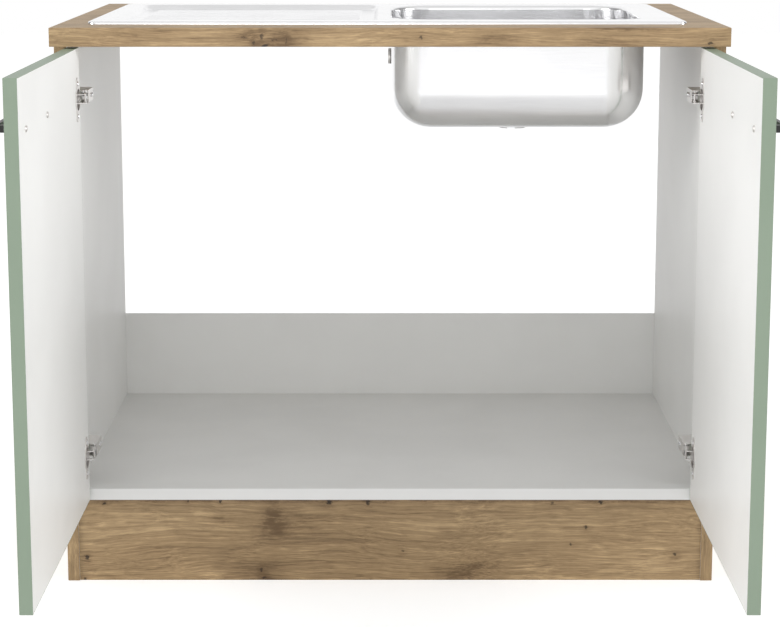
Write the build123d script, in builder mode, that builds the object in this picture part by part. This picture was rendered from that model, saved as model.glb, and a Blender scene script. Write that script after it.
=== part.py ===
from build123d import *

import os
from math import atan2, degrees

# Kitchen sink unit: a two-door base cabinet with a worktop and an inset steel sink.
# Millimetres. +Z is up, +X is to the right seen from the front, +Y runs from the front to the wall.
# The origin is on the floor, in the middle of the width, under the middle of the plinth board.
# The doors stand open at a right angle, which is their rest pose.

os.makedirs("parts", exist_ok=True)

# ---------------------------------------------------------------- driving dimensions

# Whole unit
unit_width = 1000.0
worktop_top = 860.0
worktop_depth = 635.0
worktop_thickness = 28.0
worktop_overhang = 41.0
panel = 18.0
door_thickness = 18.0
banding = 1.0

# Carcass
plinth_height = 130.0
plinth_setback = 3.0
strip_height = 168.0
strip_thickness = 3.0
strip_side_margin = 2.0

# Carcass fasteners
cam_reach = 34.0
cam_radius = 7.5
cam_height = 13.0
cam_inset = 60.0
cam_hole_radius = 4.0
cam_slot_width = 1.2
cam_slot_depth = 1.5
bolt_radius = 2.5
bolt_depth = 11.0
bolt_neck_radius = 3.0
bolt_head_radius = 3.6
bolt_head_length = 3.0
dowel_radius = 4.0
dowel_panel_depth = 11.0
dowel_shelf_depth = 18.0
dowel_inset = 130.0
plinth_dowel_spacing = 600.0
plinth_dowel_depth = 20.0
plinth_dowel_rise = 12.0
strip_screw_radius = 1.5
strip_screw_length = 15.0
strip_screw_spacing = 180.0
strip_side_screw_rises = (50.0, 120.0)

# Screw heads with a cross recess
head_taper = 0.62
recess_length = 0.9
recess_width = 0.2
board_head_radius = 3.2
board_head_height = 1.8

# Angle brackets under the worktop
bracket_leg = 18.0
bracket_width = 16.0
bracket_sheet = 1.5
bracket_hole_line = 11.0
bracket_front_inset = 270.0
bracket_back_inset = 110.0
bracket_screw_radius = 1.75
bracket_screw_length = 13.0

# Doors
door_top_gap = 3.0
door_bottom_gap = 2.0
door_side_reveal = 1.5
door_middle_gap = 3.0
door_front_gap = 2.0
decor = 0.8
open_side_clearance = 2.0
open_front_clearance = 5.0

# Handles
handle_centres = 160.0
handle_edge_inset = 50.0
handle_drop = 69.0
handle_leg = 10.0
handle_bar = 7.0
handle_height = 9.5
handle_reach = 25.0
handle_outer_radius = 7.0
handle_inner_radius = 3.0
handle_softening = 1.2
handle_screw_radius = 2.0
handle_screw_grip = 9.0
handle_head_radius = 4.5
handle_head_height = 2.5

# Concealed hinges
hinge_drop = 76.0
hinge_rise = 74.0
cup_radius = 17.4
cup_bore_clearance = 0.1
cup_inset = 5.0
cup_depth = 11.8
cup_wall = 1.2
flange_thickness = 1.2
flange_length = 66.0
flange_width = 18.0
flange_offset = 3.5
flange_ring = 2.1
flange_corner = 8.0
cup_screw_spacing = 48.0
cup_screw_offset = 6.0
cup_screw_length = 11.0
cup_screw_radius = 1.75
cup_head_radius = 3.6
cup_head_height = 1.8
pin_radius = 1.5
pin_clearance = 0.05
cup_pin_inset = 14.0
cup_pin_depth = 3.5
cup_pin_half_length = 14.2
arm_pin_height = 25.4
link_half_width = 1.5
link_eye_radius = 2.7
link_knee_share = 0.804
link_knee_offset = 11.2
link_web = 1.0
link_web_start = 0.3
link_web_end = 0.75
cheek_inner = 5.8
cheek_thickness = 1.2
arm_half_width = 9.8
arm_sheet = 1.2
arm_nose_radius = 3.6
arm_foot_height = 5.5
arm_front = 24.0
arm_back = 66.0
arm_pin_proud = 0.6
plate_line = 37.0
plate_hole_spacing = 32.0
plate_sheet = 2.0
plate_half_length = 25.0
plate_half_width = 6.0
plate_corner = 5.0
plate_screw_radius = 2.5
plate_screw_length = 13.0
plate_head_radius = 4.2
plate_head_height = 2.2
block_front = 26.0
block_back = 62.0
block_height = 18.0
block_side_clearance = 0.3
adjuster_radius = 2.0
adjuster_bite = 4.0
adjuster_lines = (45.0, 56.0)
adjuster_head_radius = 3.2
adjuster_head_height = 1.5

# Sink
sink_side_margin = 50.0
sink_depth = 480.0
sink_offset = -4.0
sink_front_inset = 66.0
sheet = 1.0
rim_rise = 5.0
rim_border = 30.0
rim_corner = 14.0
rim_edge_radius = 3.0
tray_depth = 8.0
tray_slope = 10.0
tray_corner = 26.0
bowl_width = 391.0
bowl_right_margin = 52.0
bowl_front_margin = 54.0
bowl_back_margin = 54.0
bowl_depth = 172.0
bowl_corner = 64.0
bowl_floor_ease = 4.0
bowl_lip_radius = 7.0
divider = 20.0
rib_count = 9
rib_radius = 4.0
rib_height = 1.5
rib_end_margin = 34.0
cutout_margin = 14.0
cutout_corner = 12.0
seal_inset = 3.2
seal_width = 8.0
clip_width = 14.0
clip_sheet = 1.5
clip_wall_gap = 0.3
clip_foot = 12.0
clip_hook = 9.0
clip_spacing = 290.0
clip_screw_radius = 1.75
clip_screw_length = 12.0

# Waste outlet
waste_hole_radius = 24.5
waste_flange_radius = 40.0
waste_flange_height = 2.0
waste_tail_radius = 23.9
waste_bore_radius = 19.0
waste_tail_drop = 15.0
waste_spigot_radius = 22.5
waste_spigot_length = 8.0
waste_nut_radius = 32.0
waste_nut_sides = 12
waste_nut_height = 5.0
waste_gasket_height = 1.5
waste_thread_gap = 0.1
waste_cross_width = 3.0
waste_cross_height = 3.0
waste_cross_rise = 1.5
plug_radius = 27.0
plug_height = 3.0
plug_stem_radius = 17.0
plug_stem_length = 9.0
plug_knob_radius = 6.0
plug_knob_round = 2.0
plug_knob_height = 12.0
plug_seal_gap = 0.3
plug_seal_height = 3.0

# Overflow
overflow_drop = 66.0
overflow_hole_radius = 9.0
overflow_plate_radius = 15.0
overflow_plate_thickness = 1.5
overflow_slot_ring = 6.0
overflow_slot_radius = 1.6
overflow_slot_count = 6
overflow_boss_radius = 12.5
overflow_boss_bore = 8.5
overflow_boss_reach = 5.0
overflow_gasket_thickness = 1.0
overflow_cap = 1.5
overflow_screw_radius = 1.5
overflow_head_radius = 2.8
overflow_head_height = 1.6

# ---------------------------------------------------------------- derived positions

half_width = unit_width / 2
inner_x = half_width - panel
front = -(panel / 2 + plinth_setback)
worktop_front = front - worktop_overhang
worktop_back = worktop_front + worktop_depth
back = worktop_back - strip_thickness
underside = worktop_top - worktop_thickness
shelf_bottom = plinth_height
shelf_top = shelf_bottom + panel
shelf_middle = shelf_bottom + panel / 2

door_width = half_width - door_side_reveal - door_middle_gap / 2
door_bottom = plinth_height + door_bottom_gap
door_top = underside - door_top_gap
door_edge_x = -half_width + door_side_reveal
leaf_outer_x = -inner_x + open_side_clearance
leaf_inner_x = leaf_outer_x + door_thickness
leaf_hinge_y = front - open_front_clearance
leaf_free_y = leaf_hinge_y - door_width
cup_line_y = leaf_hinge_y - cup_inset - cup_radius - cup_bore_clearance
hinge_heights = (door_bottom + hinge_rise, door_top - hinge_drop)
handle_z = door_top - handle_drop
handle_ys = (leaf_free_y + handle_edge_inset, leaf_free_y + handle_edge_inset + handle_centres)

# Hinge pivots of the left door: it swings a right angle while the link turns back
cup_pin = Vector(leaf_inner_x - cup_pin_depth, leaf_hinge_y - cup_pin_inset)
cup_pin_closed = Vector(door_edge_x + cup_pin_inset, front - door_front_gap - cup_pin_depth)
pin_chord = cup_pin - cup_pin_closed
pin_middle = (cup_pin + cup_pin_closed) / 2
arm_pin_x = arm_pin_height - inner_x
arm_pin_y = pin_middle.Y - (arm_pin_x - pin_middle.X) * pin_chord.X / pin_chord.Y
arm_pin = Vector(arm_pin_x, arm_pin_y)
link_run = cup_pin - arm_pin
link_run_closed = cup_pin_closed - arm_pin
link_turn = degrees(atan2(link_run.Y, link_run.X) - atan2(link_run_closed.Y, link_run_closed.X))
link_along = link_run.normalized()
link_across = Vector(-link_along.Y, link_along.X)
link_knee = arm_pin + link_run * link_knee_share + link_across * link_knee_offset
arm_top_x = arm_pin_x + arm_nose_radius

sink_width = unit_width - 2 * sink_side_margin
sink_left = sink_offset - sink_width / 2
sink_right = sink_offset + sink_width / 2
sink_front = worktop_front + sink_front_inset
sink_back = sink_front + sink_depth
sink_middle = (sink_offset, (sink_front + sink_back) / 2)
deck_top = worktop_top + rim_rise
bowl_right = sink_right - bowl_right_margin
bowl_left = bowl_right - bowl_width
bowl_length = sink_depth - bowl_front_margin - bowl_back_margin
bowl_middle = ((bowl_left + bowl_right) / 2, sink_front + bowl_front_margin + bowl_length / 2)
bowl_underside = deck_top - bowl_depth
bowl_floor = bowl_underside + sheet
bowl_floor_radius = bowl_corner - bowl_floor_ease
bowl_front = sink_front + bowl_front_margin
bowl_back = sink_back - bowl_back_margin
bowl_weld = deck_top - bowl_lip_radius
tray_left = sink_left + rim_border
tray_right = bowl_left - divider
tray_length = sink_depth - 2 * rim_border
tray_middle = ((tray_left + tray_right) / 2, sink_middle[1])
rib_pitch = (tray_length - 2 * tray_slope) / (rib_count + 1)
rib_length = tray_right - tray_left - 2 * rib_end_margin
clip_rise = deck_top - sheet - underside

LOW = (Align.CENTER, Align.CENTER, Align.MIN)
HIGH = (Align.CENTER, Align.CENTER, Align.MAX)
CORNER = (Align.MIN, Align.MIN, Align.MIN)
STRIP = (Align.CENTER, Align.MIN, Align.MIN)
NEAR = 0.1


# ---------------------------------------------------------------- shared operations


def slab(low, high, mode=Mode.ADD):
    """Rectangular block between two opposite corners."""
    with Locations(low):
        Box(high[0] - low[0], high[1] - low[1], high[2] - low[2], align=CORNER, mode=mode)


def seats(points, outward):
    """One plane at each point, facing outward: the places of holes and screws."""
    return [Plane(origin=point, z_dir=outward) for point in points]


def sunk(places, depth):
    """The same places, moved into the face by depth."""
    return [place.offset(-depth) for place in places]


def raised(places, height):
    """The same places, moved out of the face by height."""
    return [place.offset(height) for place in places]


def drill(places, radius, depth):
    """Blind round holes into the faces that the places lie on."""
    with Locations(*places):
        Hole(radius, depth)


def rods(places, radius, length, align=HIGH):
    """Round bars at the places, running into the face unless aligned otherwise."""
    with Locations(*places):
        Cylinder(radius, length, align=align)


def screws(places, radius, length, head_radius, head_height):
    """Pan-head screws with a cross recess, their heads resting on the places."""
    rods(places, radius, length)
    with Locations(*places):
        Cone(head_radius, head_taper * head_radius, head_height, align=LOW)
    with Locations(*raised(places, head_height)):
        Box(recess_length * head_radius, recess_width * head_radius, head_height, mode=Mode.SUBTRACT)
        Box(recess_width * head_radius, recess_length * head_radius, head_height, mode=Mode.SUBTRACT)


def hinge_bar(start, end, half_thickness):
    """Flat bar with round ends between two points of the active sketch."""
    run = end - start
    middle = (start + end) / 2
    with Locations(Location((middle.X, middle.Y), degrees(atan2(run.Y, run.X)))):
        SlotCenterToCenter(run.length, 2 * half_thickness)


def save(part, name):
    """Label a finished piece and write it to its own file."""
    part.label = name
    export_step(part, "parts/" + name + ".step")


def save_pair(left_part, name):
    """Write a left-hand piece and its mirror image, the right-hand piece."""
    save(left_part, name + "_left")
    with BuildPart() as right_piece:
        mirror(left_part, about=Plane.YZ)
    save(right_piece.part, name + "_right")


# ---------------------------------------------------------------- fastener places

shelf_cam_ys = (front + cam_inset, back - cam_inset)
shelf_dowel_ys = (front + dowel_inset, back - dowel_inset)
plinth_dowel_xs = (-plinth_dowel_spacing / 2, plinth_dowel_spacing / 2)
bracket_ys = (worktop_front + bracket_front_inset, worktop_back - bracket_back_inset)
plate_screw_zs = [z + side * plate_hole_spacing / 2 for z in hinge_heights for side in (-1, 1)]


def shelf_end_seats(side, ys):
    """Places at one end of the bottom shelf, facing out of that end; side is -1 or 1."""
    return seats([(side * inner_x, y, shelf_middle) for y in ys], (side, 0, 0))


panel_bolt_seats = seats([(-inner_x, y, shelf_middle) for y in shelf_cam_ys], (1, 0, 0))
panel_dowel_seats = seats([(-inner_x, y, shelf_middle) for y in shelf_dowel_ys], (1, 0, 0))
panel_bracket_seats = seats([(-inner_x, y, underside - bracket_hole_line) for y in bracket_ys], (1, 0, 0))
panel_plate_seats = seats([(-inner_x, front + plate_line, z) for z in plate_screw_zs], (1, 0, 0))
top_bracket_seats = seats(
    [(side * (inner_x - bracket_hole_line), y, underside) for side in (-1, 1) for y in bracket_ys], (0, 0, -1)
)
side_bracket_seats = [
    Plane(origin=(side * inner_x, y, underside - bracket_hole_line), z_dir=(-side, 0, 0))
    for side in (-1, 1)
    for y in bracket_ys
]
bracket_seats = side_bracket_seats + top_bracket_seats
strip_shelf_seats = seats(
    [(index * strip_screw_spacing, worktop_back, shelf_middle) for index in range(-2, 3)], (0, 1, 0)
)
strip_left_seats = seats(
    [(-half_width + panel / 2, worktop_back, shelf_top + rise) for rise in strip_side_screw_rises], (0, 1, 0)
)
strip_right_seats = seats(
    [(half_width - panel / 2, worktop_back, shelf_top + rise) for rise in strip_side_screw_rises], (0, 1, 0)
)

# ---------------------------------------------------------------- carcass

with BuildPart() as side_panel:
    slab((-half_width, front + banding, 0), (-inner_x, back, underside))
    drill(panel_bolt_seats, bolt_radius, bolt_depth)
    drill(panel_dowel_seats, dowel_radius, dowel_panel_depth)
    drill(panel_bracket_seats, bracket_screw_radius, bracket_screw_length)
    drill(panel_plate_seats, plate_screw_radius, plate_screw_length)
    drill(sunk(strip_left_seats, strip_thickness), strip_screw_radius, strip_screw_length)
save_pair(side_panel.part, "side_panel")

with BuildPart() as side_edge_band:
    slab((-half_width, front, 0), (-inner_x, front + banding, underside))
save_pair(side_edge_band.part, "side_edge_band")

with BuildPart() as bottom_shelf:
    slab((-inner_x, front + banding, shelf_bottom), (inner_x, back, shelf_top))
    for side in (-1, 1):
        cam_seats = seats([(side * (inner_x - cam_reach), y, shelf_bottom) for y in shelf_cam_ys], (0, 0, -1))
        drill(shelf_end_seats(side, shelf_cam_ys), cam_hole_radius, cam_reach)
        drill(shelf_end_seats(side, shelf_dowel_ys), dowel_radius, dowel_shelf_depth)
        drill(cam_seats, cam_radius, cam_height)
    drill(seats([(x, 0, shelf_bottom) for x in plinth_dowel_xs], (0, 0, -1)), dowel_radius, plinth_dowel_rise)
    drill(sunk(strip_shelf_seats, strip_thickness), strip_screw_radius, strip_screw_length)
bottom_shelf.part.label = "bottom_shelf"
export_step(bottom_shelf.part, "parts/bottom_shelf.step")

with BuildPart() as shelf_edge_band:
    slab((-inner_x, front, shelf_bottom), (inner_x, front + banding, shelf_top))
shelf_edge_band.part.label = "shelf_edge_band"
export_step(shelf_edge_band.part, "parts/shelf_edge_band.step")

with BuildPart() as plinth:
    slab((-inner_x, -panel / 2, 0), (inner_x, panel / 2, plinth_height))
    drill(seats([(x, 0, plinth_height) for x in plinth_dowel_xs], (0, 0, 1)), dowel_radius, plinth_dowel_depth)
plinth.part.label = "plinth"
export_step(plinth.part, "parts/plinth.step")

with BuildPart() as back_strip:
    strip_half = half_width - strip_side_margin
    slab((-strip_half, back, shelf_bottom), (strip_half, worktop_back, shelf_bottom + strip_height))
    drill(strip_shelf_seats + strip_left_seats + strip_right_seats, strip_screw_radius, strip_thickness)
back_strip.part.label = "back_strip"
export_step(back_strip.part, "parts/back_strip.step")

with BuildPart() as strip_screws:
    screws(
        strip_shelf_seats + strip_left_seats + strip_right_seats,
        strip_screw_radius,
        strip_thickness + strip_screw_length,
        head_radius=board_head_radius,
        head_height=board_head_height,
    )
strip_screws.part.label = "strip_screws"
export_step(strip_screws.part, "parts/strip_screws.step")

with BuildPart() as connector_bolts:
    for side in (-1, 1):
        ends = shelf_end_seats(side, shelf_cam_ys)
        rods(ends, bolt_neck_radius, cam_reach)
        rods(ends, bolt_radius, bolt_depth, align=LOW)
        rods(sunk(ends, cam_reach - bolt_head_length / 2), bolt_head_radius, bolt_head_length)
connector_bolts.part.label = "connector_bolts"
export_step(connector_bolts.part, "parts/connector_bolts.step")

with BuildPart() as cam_locks:
    for side in (-1, 1):
        cam_seats = seats([(side * (inner_x - cam_reach), y, shelf_bottom) for y in shelf_cam_ys], (0, 0, -1))
        rods(cam_seats, cam_radius, cam_height)
        drill(shelf_end_seats(side, shelf_cam_ys), cam_hole_radius, cam_reach + bolt_head_length)
        with Locations(*cam_seats):
            Box(cam_radius, cam_slot_width, 2 * cam_slot_depth, mode=Mode.SUBTRACT)
            Box(cam_slot_width, cam_radius, 2 * cam_slot_depth, mode=Mode.SUBTRACT)
cam_locks.part.label = "cam_locks"
export_step(cam_locks.part, "parts/cam_locks.step")

with BuildPart() as dowels:
    for side in (-1, 1):
        rods(shelf_end_seats(side, shelf_dowel_ys), dowel_radius, dowel_shelf_depth)
        rods(shelf_end_seats(side, shelf_dowel_ys), dowel_radius, dowel_panel_depth, align=LOW)
    plinth_tops = seats([(x, 0, plinth_height) for x in plinth_dowel_xs], (0, 0, 1))
    rods(plinth_tops, dowel_radius, plinth_dowel_depth)
    rods(plinth_tops, dowel_radius, plinth_dowel_rise, align=LOW)
dowels.part.label = "dowels"
export_step(dowels.part, "parts/dowels.step")

# ---------------------------------------------------------------- worktop

cutout_front = sink_front + cutout_margin
cutout_back = sink_back - cutout_margin
cutout_left = sink_left + cutout_margin
cutout_right = sink_right - cutout_margin

clip_places = [
    Plane(origin=(sink_offset + index * clip_spacing, cutout_front, underside), x_dir=(1, 0, 0), z_dir=(0, 0, 1))
    for index in (-1, 0, 1)
]
clip_places += [
    Plane(origin=(sink_offset + index * clip_spacing, cutout_back, underside), x_dir=(-1, 0, 0), z_dir=(0, 0, 1))
    for index in (-1, 0, 1)
]
clip_places += [
    Plane(origin=(cutout_left, sink_middle[1], underside), x_dir=(0, -1, 0), z_dir=(0, 0, 1)),
    Plane(origin=(cutout_right, sink_middle[1], underside), x_dir=(0, 1, 0), z_dir=(0, 0, 1)),
]
clip_screw_seats = [
    Plane(origin=place.origin - place.y_dir * (clip_foot / 2) - Vector(0, 0, clip_sheet), z_dir=(0, 0, -1))
    for place in clip_places
]

with BuildPart() as worktop:
    slab(
        (-half_width + banding, worktop_front + banding, underside),
        (half_width - banding, worktop_back, worktop_top),
    )
    with BuildSketch(Plane.XY.offset(underside)):
        with Locations(sink_middle):
            RectangleRounded(cutout_right - cutout_left, cutout_back - cutout_front, cutout_corner)
    extrude(amount=worktop_thickness, mode=Mode.SUBTRACT)
    drill(top_bracket_seats, bracket_screw_radius, bracket_screw_length)
    drill(sunk(clip_screw_seats, clip_sheet), clip_screw_radius, clip_screw_length)
worktop.part.label = "worktop"
export_step(worktop.part, "parts/worktop.step")

with BuildPart() as worktop_edge_band:
    slab((-half_width, worktop_front, underside), (half_width, worktop_back, worktop_top))
    slab(
        (-half_width + banding, worktop_front + banding, underside),
        (half_width - banding, worktop_back, worktop_top),
        mode=Mode.SUBTRACT,
    )
worktop_edge_band.part.label = "worktop_edge_band"
export_step(worktop_edge_band.part, "parts/worktop_edge_band.step")

with BuildPart() as worktop_brackets:
    for side in (-1, 1):
        for y in bracket_ys:
            with Locations((side * (inner_x - bracket_leg / 2), y, underside)):
                Box(bracket_leg, bracket_width, bracket_sheet, align=HIGH)
            with Locations((side * (inner_x - bracket_sheet / 2), y, underside)):
                Box(bracket_sheet, bracket_width, bracket_leg, align=HIGH)
    drill(raised(bracket_seats, bracket_sheet), bracket_screw_radius, bracket_sheet)
worktop_brackets.part.label = "worktop_brackets"
export_step(worktop_brackets.part, "parts/worktop_brackets.step")

with BuildPart() as bracket_screws:
    screws(
        raised(bracket_seats, bracket_sheet),
        bracket_screw_radius,
        bracket_sheet + bracket_screw_length,
        head_radius=board_head_radius,
        head_height=board_head_height,
    )
bracket_screws.part.label = "bracket_screws"
export_step(bracket_screws.part, "parts/bracket_screws.step")

# ---------------------------------------------------------------- sink


def bowl_form(grow):
    """The bowl's hollow, grown outward by grow, with its rounded floor and lip."""
    mouth = deck_top - grow
    with BuildPart() as form:
        with BuildSketch(Plane.XY.offset(bowl_floor - grow)):
            with Locations(bowl_middle):
                RectangleRounded(bowl_width + 2 * grow, bowl_length + 2 * grow, bowl_corner + grow)
        extrude(amount=mouth - bowl_floor + grow)
        fillet(form.edges().group_by(Axis.Z)[0], bowl_floor_radius + grow)
        with BuildSketch(Plane.XY.offset(mouth)):
            with Locations(bowl_middle):
                RectangleRounded(bowl_width + divider, bowl_length + divider, bowl_corner + divider / 2)
        extrude(amount=sheet)
        ledge = form.faces().filter_by_position(Axis.Z, mouth - NEAR, mouth + NEAR)[0]
        fillet(ledge.inner_wires().edges(), bowl_lip_radius - grow)
    return form.part


def tray_form(drop):
    """The draining tray's hollow with its raised ribs, lowered by drop."""
    floor = deck_top - tray_depth - drop
    with BuildPart() as form:
        with BuildSketch(Plane.XY.offset(deck_top - drop)):
            with Locations(tray_middle):
                RectangleRounded(tray_right - tray_left, tray_length, tray_corner)
        extrude(amount=-tray_depth, taper=degrees(atan2(tray_slope, tray_depth)))
        for index in range(rib_count):
            rib_y = tray_middle[1] + (index - (rib_count - 1) / 2) * rib_pitch
            with Locations((tray_middle[0], rib_y, floor + rib_height - rib_radius)):
                Cylinder(rib_radius, rib_length, rotation=(0, 90, 0), mode=Mode.SUBTRACT)
            with Locations(
                (tray_middle[0] - rib_length / 2, rib_y, floor + rib_height - rib_radius),
                (tray_middle[0] + rib_length / 2, rib_y, floor + rib_height - rib_radius),
            ):
                Sphere(rib_radius, mode=Mode.SUBTRACT)
    return form.part


floor_seat = seats([(*bowl_middle, bowl_floor)], (0, 0, 1))
overflow_seats = seats([(bowl_left, bowl_middle[1], worktop_top - overflow_drop)], (1, 0, 0))
bowl_outside = bowl_form(sheet)
bowl_hollow = bowl_form(0)
tray_outside = tray_form(sheet)
tray_hollow = tray_form(0)

with BuildPart() as rim_hollow:
    with BuildSketch(Plane.XY.offset(worktop_top)):
        with Locations(sink_middle):
            RectangleRounded(sink_width - 2 * sheet, sink_depth - 2 * sheet, rim_corner - sheet)
    extrude(amount=rim_rise - sheet)
    fillet(rim_hollow.edges().group_by(Axis.Z)[-1], rim_edge_radius - sheet)

with BuildPart() as sink_deck:
    with BuildSketch(Plane.XY.offset(worktop_top)):
        with Locations(sink_middle):
            RectangleRounded(sink_width, sink_depth, rim_corner)
    extrude(amount=rim_rise)
    fillet(sink_deck.edges().group_by(Axis.Z)[-1], rim_edge_radius)
    add(rim_hollow.part, mode=Mode.SUBTRACT)
    add(tray_outside)
    add(bowl_outside)
    add(tray_hollow, mode=Mode.SUBTRACT)
    add(bowl_hollow, mode=Mode.SUBTRACT)
    slab(
        (bowl_left - divider / 2, bowl_front - divider / 2, bowl_underside),
        (bowl_right + divider / 2, bowl_back + divider / 2, bowl_weld),
        mode=Mode.SUBTRACT,
    )
sink_deck.part.label = "sink_deck"
export_step(sink_deck.part, "parts/sink_deck.step")

with BuildPart() as sink_bowl:
    add(bowl_outside)
    add(bowl_hollow, mode=Mode.SUBTRACT)
    split(bisect_by=Plane.XY.offset(bowl_weld), keep=Keep.BOTTOM)
    drill(floor_seat, waste_hole_radius, sheet)
    drill(overflow_seats, overflow_hole_radius, sheet)
sink_bowl.part.label = "sink_bowl"
export_step(sink_bowl.part, "parts/sink_bowl.step")

with BuildPart() as sink_seal:
    for inset, mode in ((seal_inset, Mode.ADD), (seal_inset + seal_width, Mode.SUBTRACT)):
        with BuildSketch(Plane.XY.offset(worktop_top)):
            with Locations(sink_middle):
                RectangleRounded(sink_width - 2 * inset, sink_depth - 2 * inset, max(rim_corner - inset, sheet))
        extrude(amount=rim_rise - sheet, mode=mode)
sink_seal.part.label = "sink_seal"
export_step(sink_seal.part, "parts/sink_seal.step")

with BuildPart() as sink_clips:
    with Locations(*clip_places):
        with Locations((0, clip_wall_gap, -clip_sheet)):
            Box(clip_width, clip_sheet, clip_rise + clip_sheet, align=STRIP)
        with Locations((0, clip_wall_gap, clip_rise - clip_sheet)):
            Box(clip_width, clip_hook, clip_sheet, align=STRIP)
        with Locations((0, -clip_foot, -clip_sheet)):
            Box(clip_width, clip_foot + clip_wall_gap + clip_sheet, clip_sheet, align=STRIP)
    drill(clip_screw_seats, clip_screw_radius, clip_sheet)
sink_clips.part.label = "sink_clips"
export_step(sink_clips.part, "parts/sink_clips.step")

with BuildPart() as clip_screws:
    screws(
        clip_screw_seats,
        clip_screw_radius,
        clip_sheet + clip_screw_length,
        head_radius=board_head_radius,
        head_height=board_head_height,
    )
clip_screws.part.label = "clip_screws"
export_step(clip_screws.part, "parts/clip_screws.step")

# ---------------------------------------------------------------- waste outlet

under_seat = seats([(*bowl_middle, bowl_underside)], (0, 0, 1))
tail_seat = sunk(under_seat, waste_tail_drop)
flange_seat = raised(floor_seat, waste_flange_height)

with BuildPart() as waste_flange:
    rods(floor_seat, waste_flange_radius, waste_flange_height, align=LOW)
    fillet(waste_flange.edges().group_by(Axis.Z)[-1], waste_flange_height / 2)
    rods(floor_seat, waste_tail_radius, waste_tail_drop + sheet - waste_spigot_length)
    rods(tail_seat, waste_spigot_radius, waste_spigot_length, align=LOW)
    drill(flange_seat, waste_bore_radius, waste_flange_height + sheet + waste_tail_drop)
    with Locations(*raised(tail_seat, waste_cross_rise)):
        Box(2 * waste_bore_radius + sheet, waste_cross_width, waste_cross_height, align=LOW)
        Box(waste_cross_width, 2 * waste_bore_radius + sheet, waste_cross_height, align=LOW)
waste_flange.part.label = "waste_flange"
export_step(waste_flange.part, "parts/waste_flange.step")

with BuildPart() as waste_gasket:
    rods(under_seat, waste_nut_radius, waste_gasket_height)
    drill(under_seat, waste_hole_radius, waste_gasket_height)
waste_gasket.part.label = "waste_gasket"
export_step(waste_gasket.part, "parts/waste_gasket.step")

with BuildPart() as waste_nut:
    nut_seat = sunk(under_seat, waste_gasket_height)
    with BuildSketch(nut_seat[0]):
        RegularPolygon(waste_nut_radius, waste_nut_sides)
    extrude(amount=-waste_nut_height)
    drill(nut_seat, waste_tail_radius + waste_thread_gap, waste_nut_height)
waste_nut.part.label = "waste_nut"
export_step(waste_nut.part, "parts/waste_nut.step")

with BuildPart() as plug:
    rods(flange_seat, plug_radius, plug_height, align=LOW)
    rods(raised(flange_seat, plug_height), plug_knob_radius, plug_knob_height, align=LOW)
    fillet(plug.edges().group_by(Axis.Z)[-1], plug_knob_round)
    rods(flange_seat, plug_stem_radius, plug_stem_length)
plug.part.label = "plug"
export_step(plug.part, "parts/plug.step")

with BuildPart() as plug_seal:
    seal_seat = sunk(flange_seat, (plug_stem_length - plug_seal_height) / 2)
    rods(seal_seat, waste_bore_radius - plug_seal_gap, plug_seal_height)
    drill(seal_seat, plug_stem_radius, plug_seal_height)
plug_seal.part.label = "plug_seal"
export_step(plug_seal.part, "parts/plug_seal.step")

# ---------------------------------------------------------------- overflow

overflow_outside = sunk(overflow_seats, sheet)
overflow_end = sunk(overflow_outside, overflow_boss_reach)
overflow_face = raised(overflow_seats, overflow_plate_thickness)

with BuildPart() as overflow_plate:
    rods(overflow_seats, overflow_plate_radius, overflow_plate_thickness, align=LOW)
    fillet(overflow_plate.edges().group_by(Axis.X)[-1], overflow_plate_thickness / 2)
    with Locations(*overflow_face):
        with PolarLocations(overflow_slot_ring, overflow_slot_count):
            Hole(overflow_slot_radius, overflow_plate_thickness)
        Hole(overflow_screw_radius, overflow_plate_thickness)
overflow_plate.part.label = "overflow_plate"
export_step(overflow_plate.part, "parts/overflow_plate.step")

with BuildPart() as overflow_gasket:
    rods(overflow_outside, overflow_boss_radius, overflow_gasket_thickness)
    drill(overflow_outside, overflow_boss_bore, overflow_gasket_thickness)
overflow_gasket.part.label = "overflow_gasket"
export_step(overflow_gasket.part, "parts/overflow_gasket.step")

with BuildPart() as overflow_boss:
    boss_seat = sunk(overflow_outside, overflow_gasket_thickness)
    rods(boss_seat, overflow_boss_radius, overflow_boss_reach - overflow_gasket_thickness)
    fillet(overflow_boss.edges().group_by(Axis.X)[0], overflow_cap / 2)
    drill(boss_seat, overflow_boss_bore, overflow_boss_reach - overflow_gasket_thickness - overflow_cap)
    drill(boss_seat, overflow_screw_radius, overflow_boss_reach - overflow_gasket_thickness)
overflow_boss.part.label = "overflow_boss"
export_step(overflow_boss.part, "parts/overflow_boss.step")

with BuildPart() as overflow_screw:
    screws(
        overflow_face,
        overflow_screw_radius,
        overflow_plate_thickness + sheet + overflow_boss_reach,
        head_radius=overflow_head_radius,
        head_height=overflow_head_height,
    )
overflow_screw.part.label = "overflow_screw"
export_step(overflow_screw.part, "parts/overflow_screw.step")

# ---------------------------------------------------------------- doors, the left one drawn and mirrored

handle_back_seats = seats([(leaf_outer_x, y, handle_z) for y in handle_ys], (1, 0, 0))
handle_screw_seats = raised(handle_back_seats, door_thickness)
cup_seats = seats([(leaf_inner_x, cup_line_y, z) for z in hinge_heights], (1, 0, 0))
cup_screw_line_y = cup_line_y - cup_screw_offset
cup_screw_seats = seats(
    [
        (leaf_inner_x, cup_screw_line_y, z + side * cup_screw_spacing / 2)
        for z in hinge_heights
        for side in (-1, 1)
    ],
    (1, 0, 0),
)
leaf_low = (leaf_outer_x, leaf_free_y, door_bottom)
leaf_high = (leaf_inner_x, leaf_hinge_y, door_top)
core_low = (leaf_outer_x + decor, leaf_free_y + banding, door_bottom + banding)
core_high = (leaf_inner_x, leaf_hinge_y - banding, door_top - banding)

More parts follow.
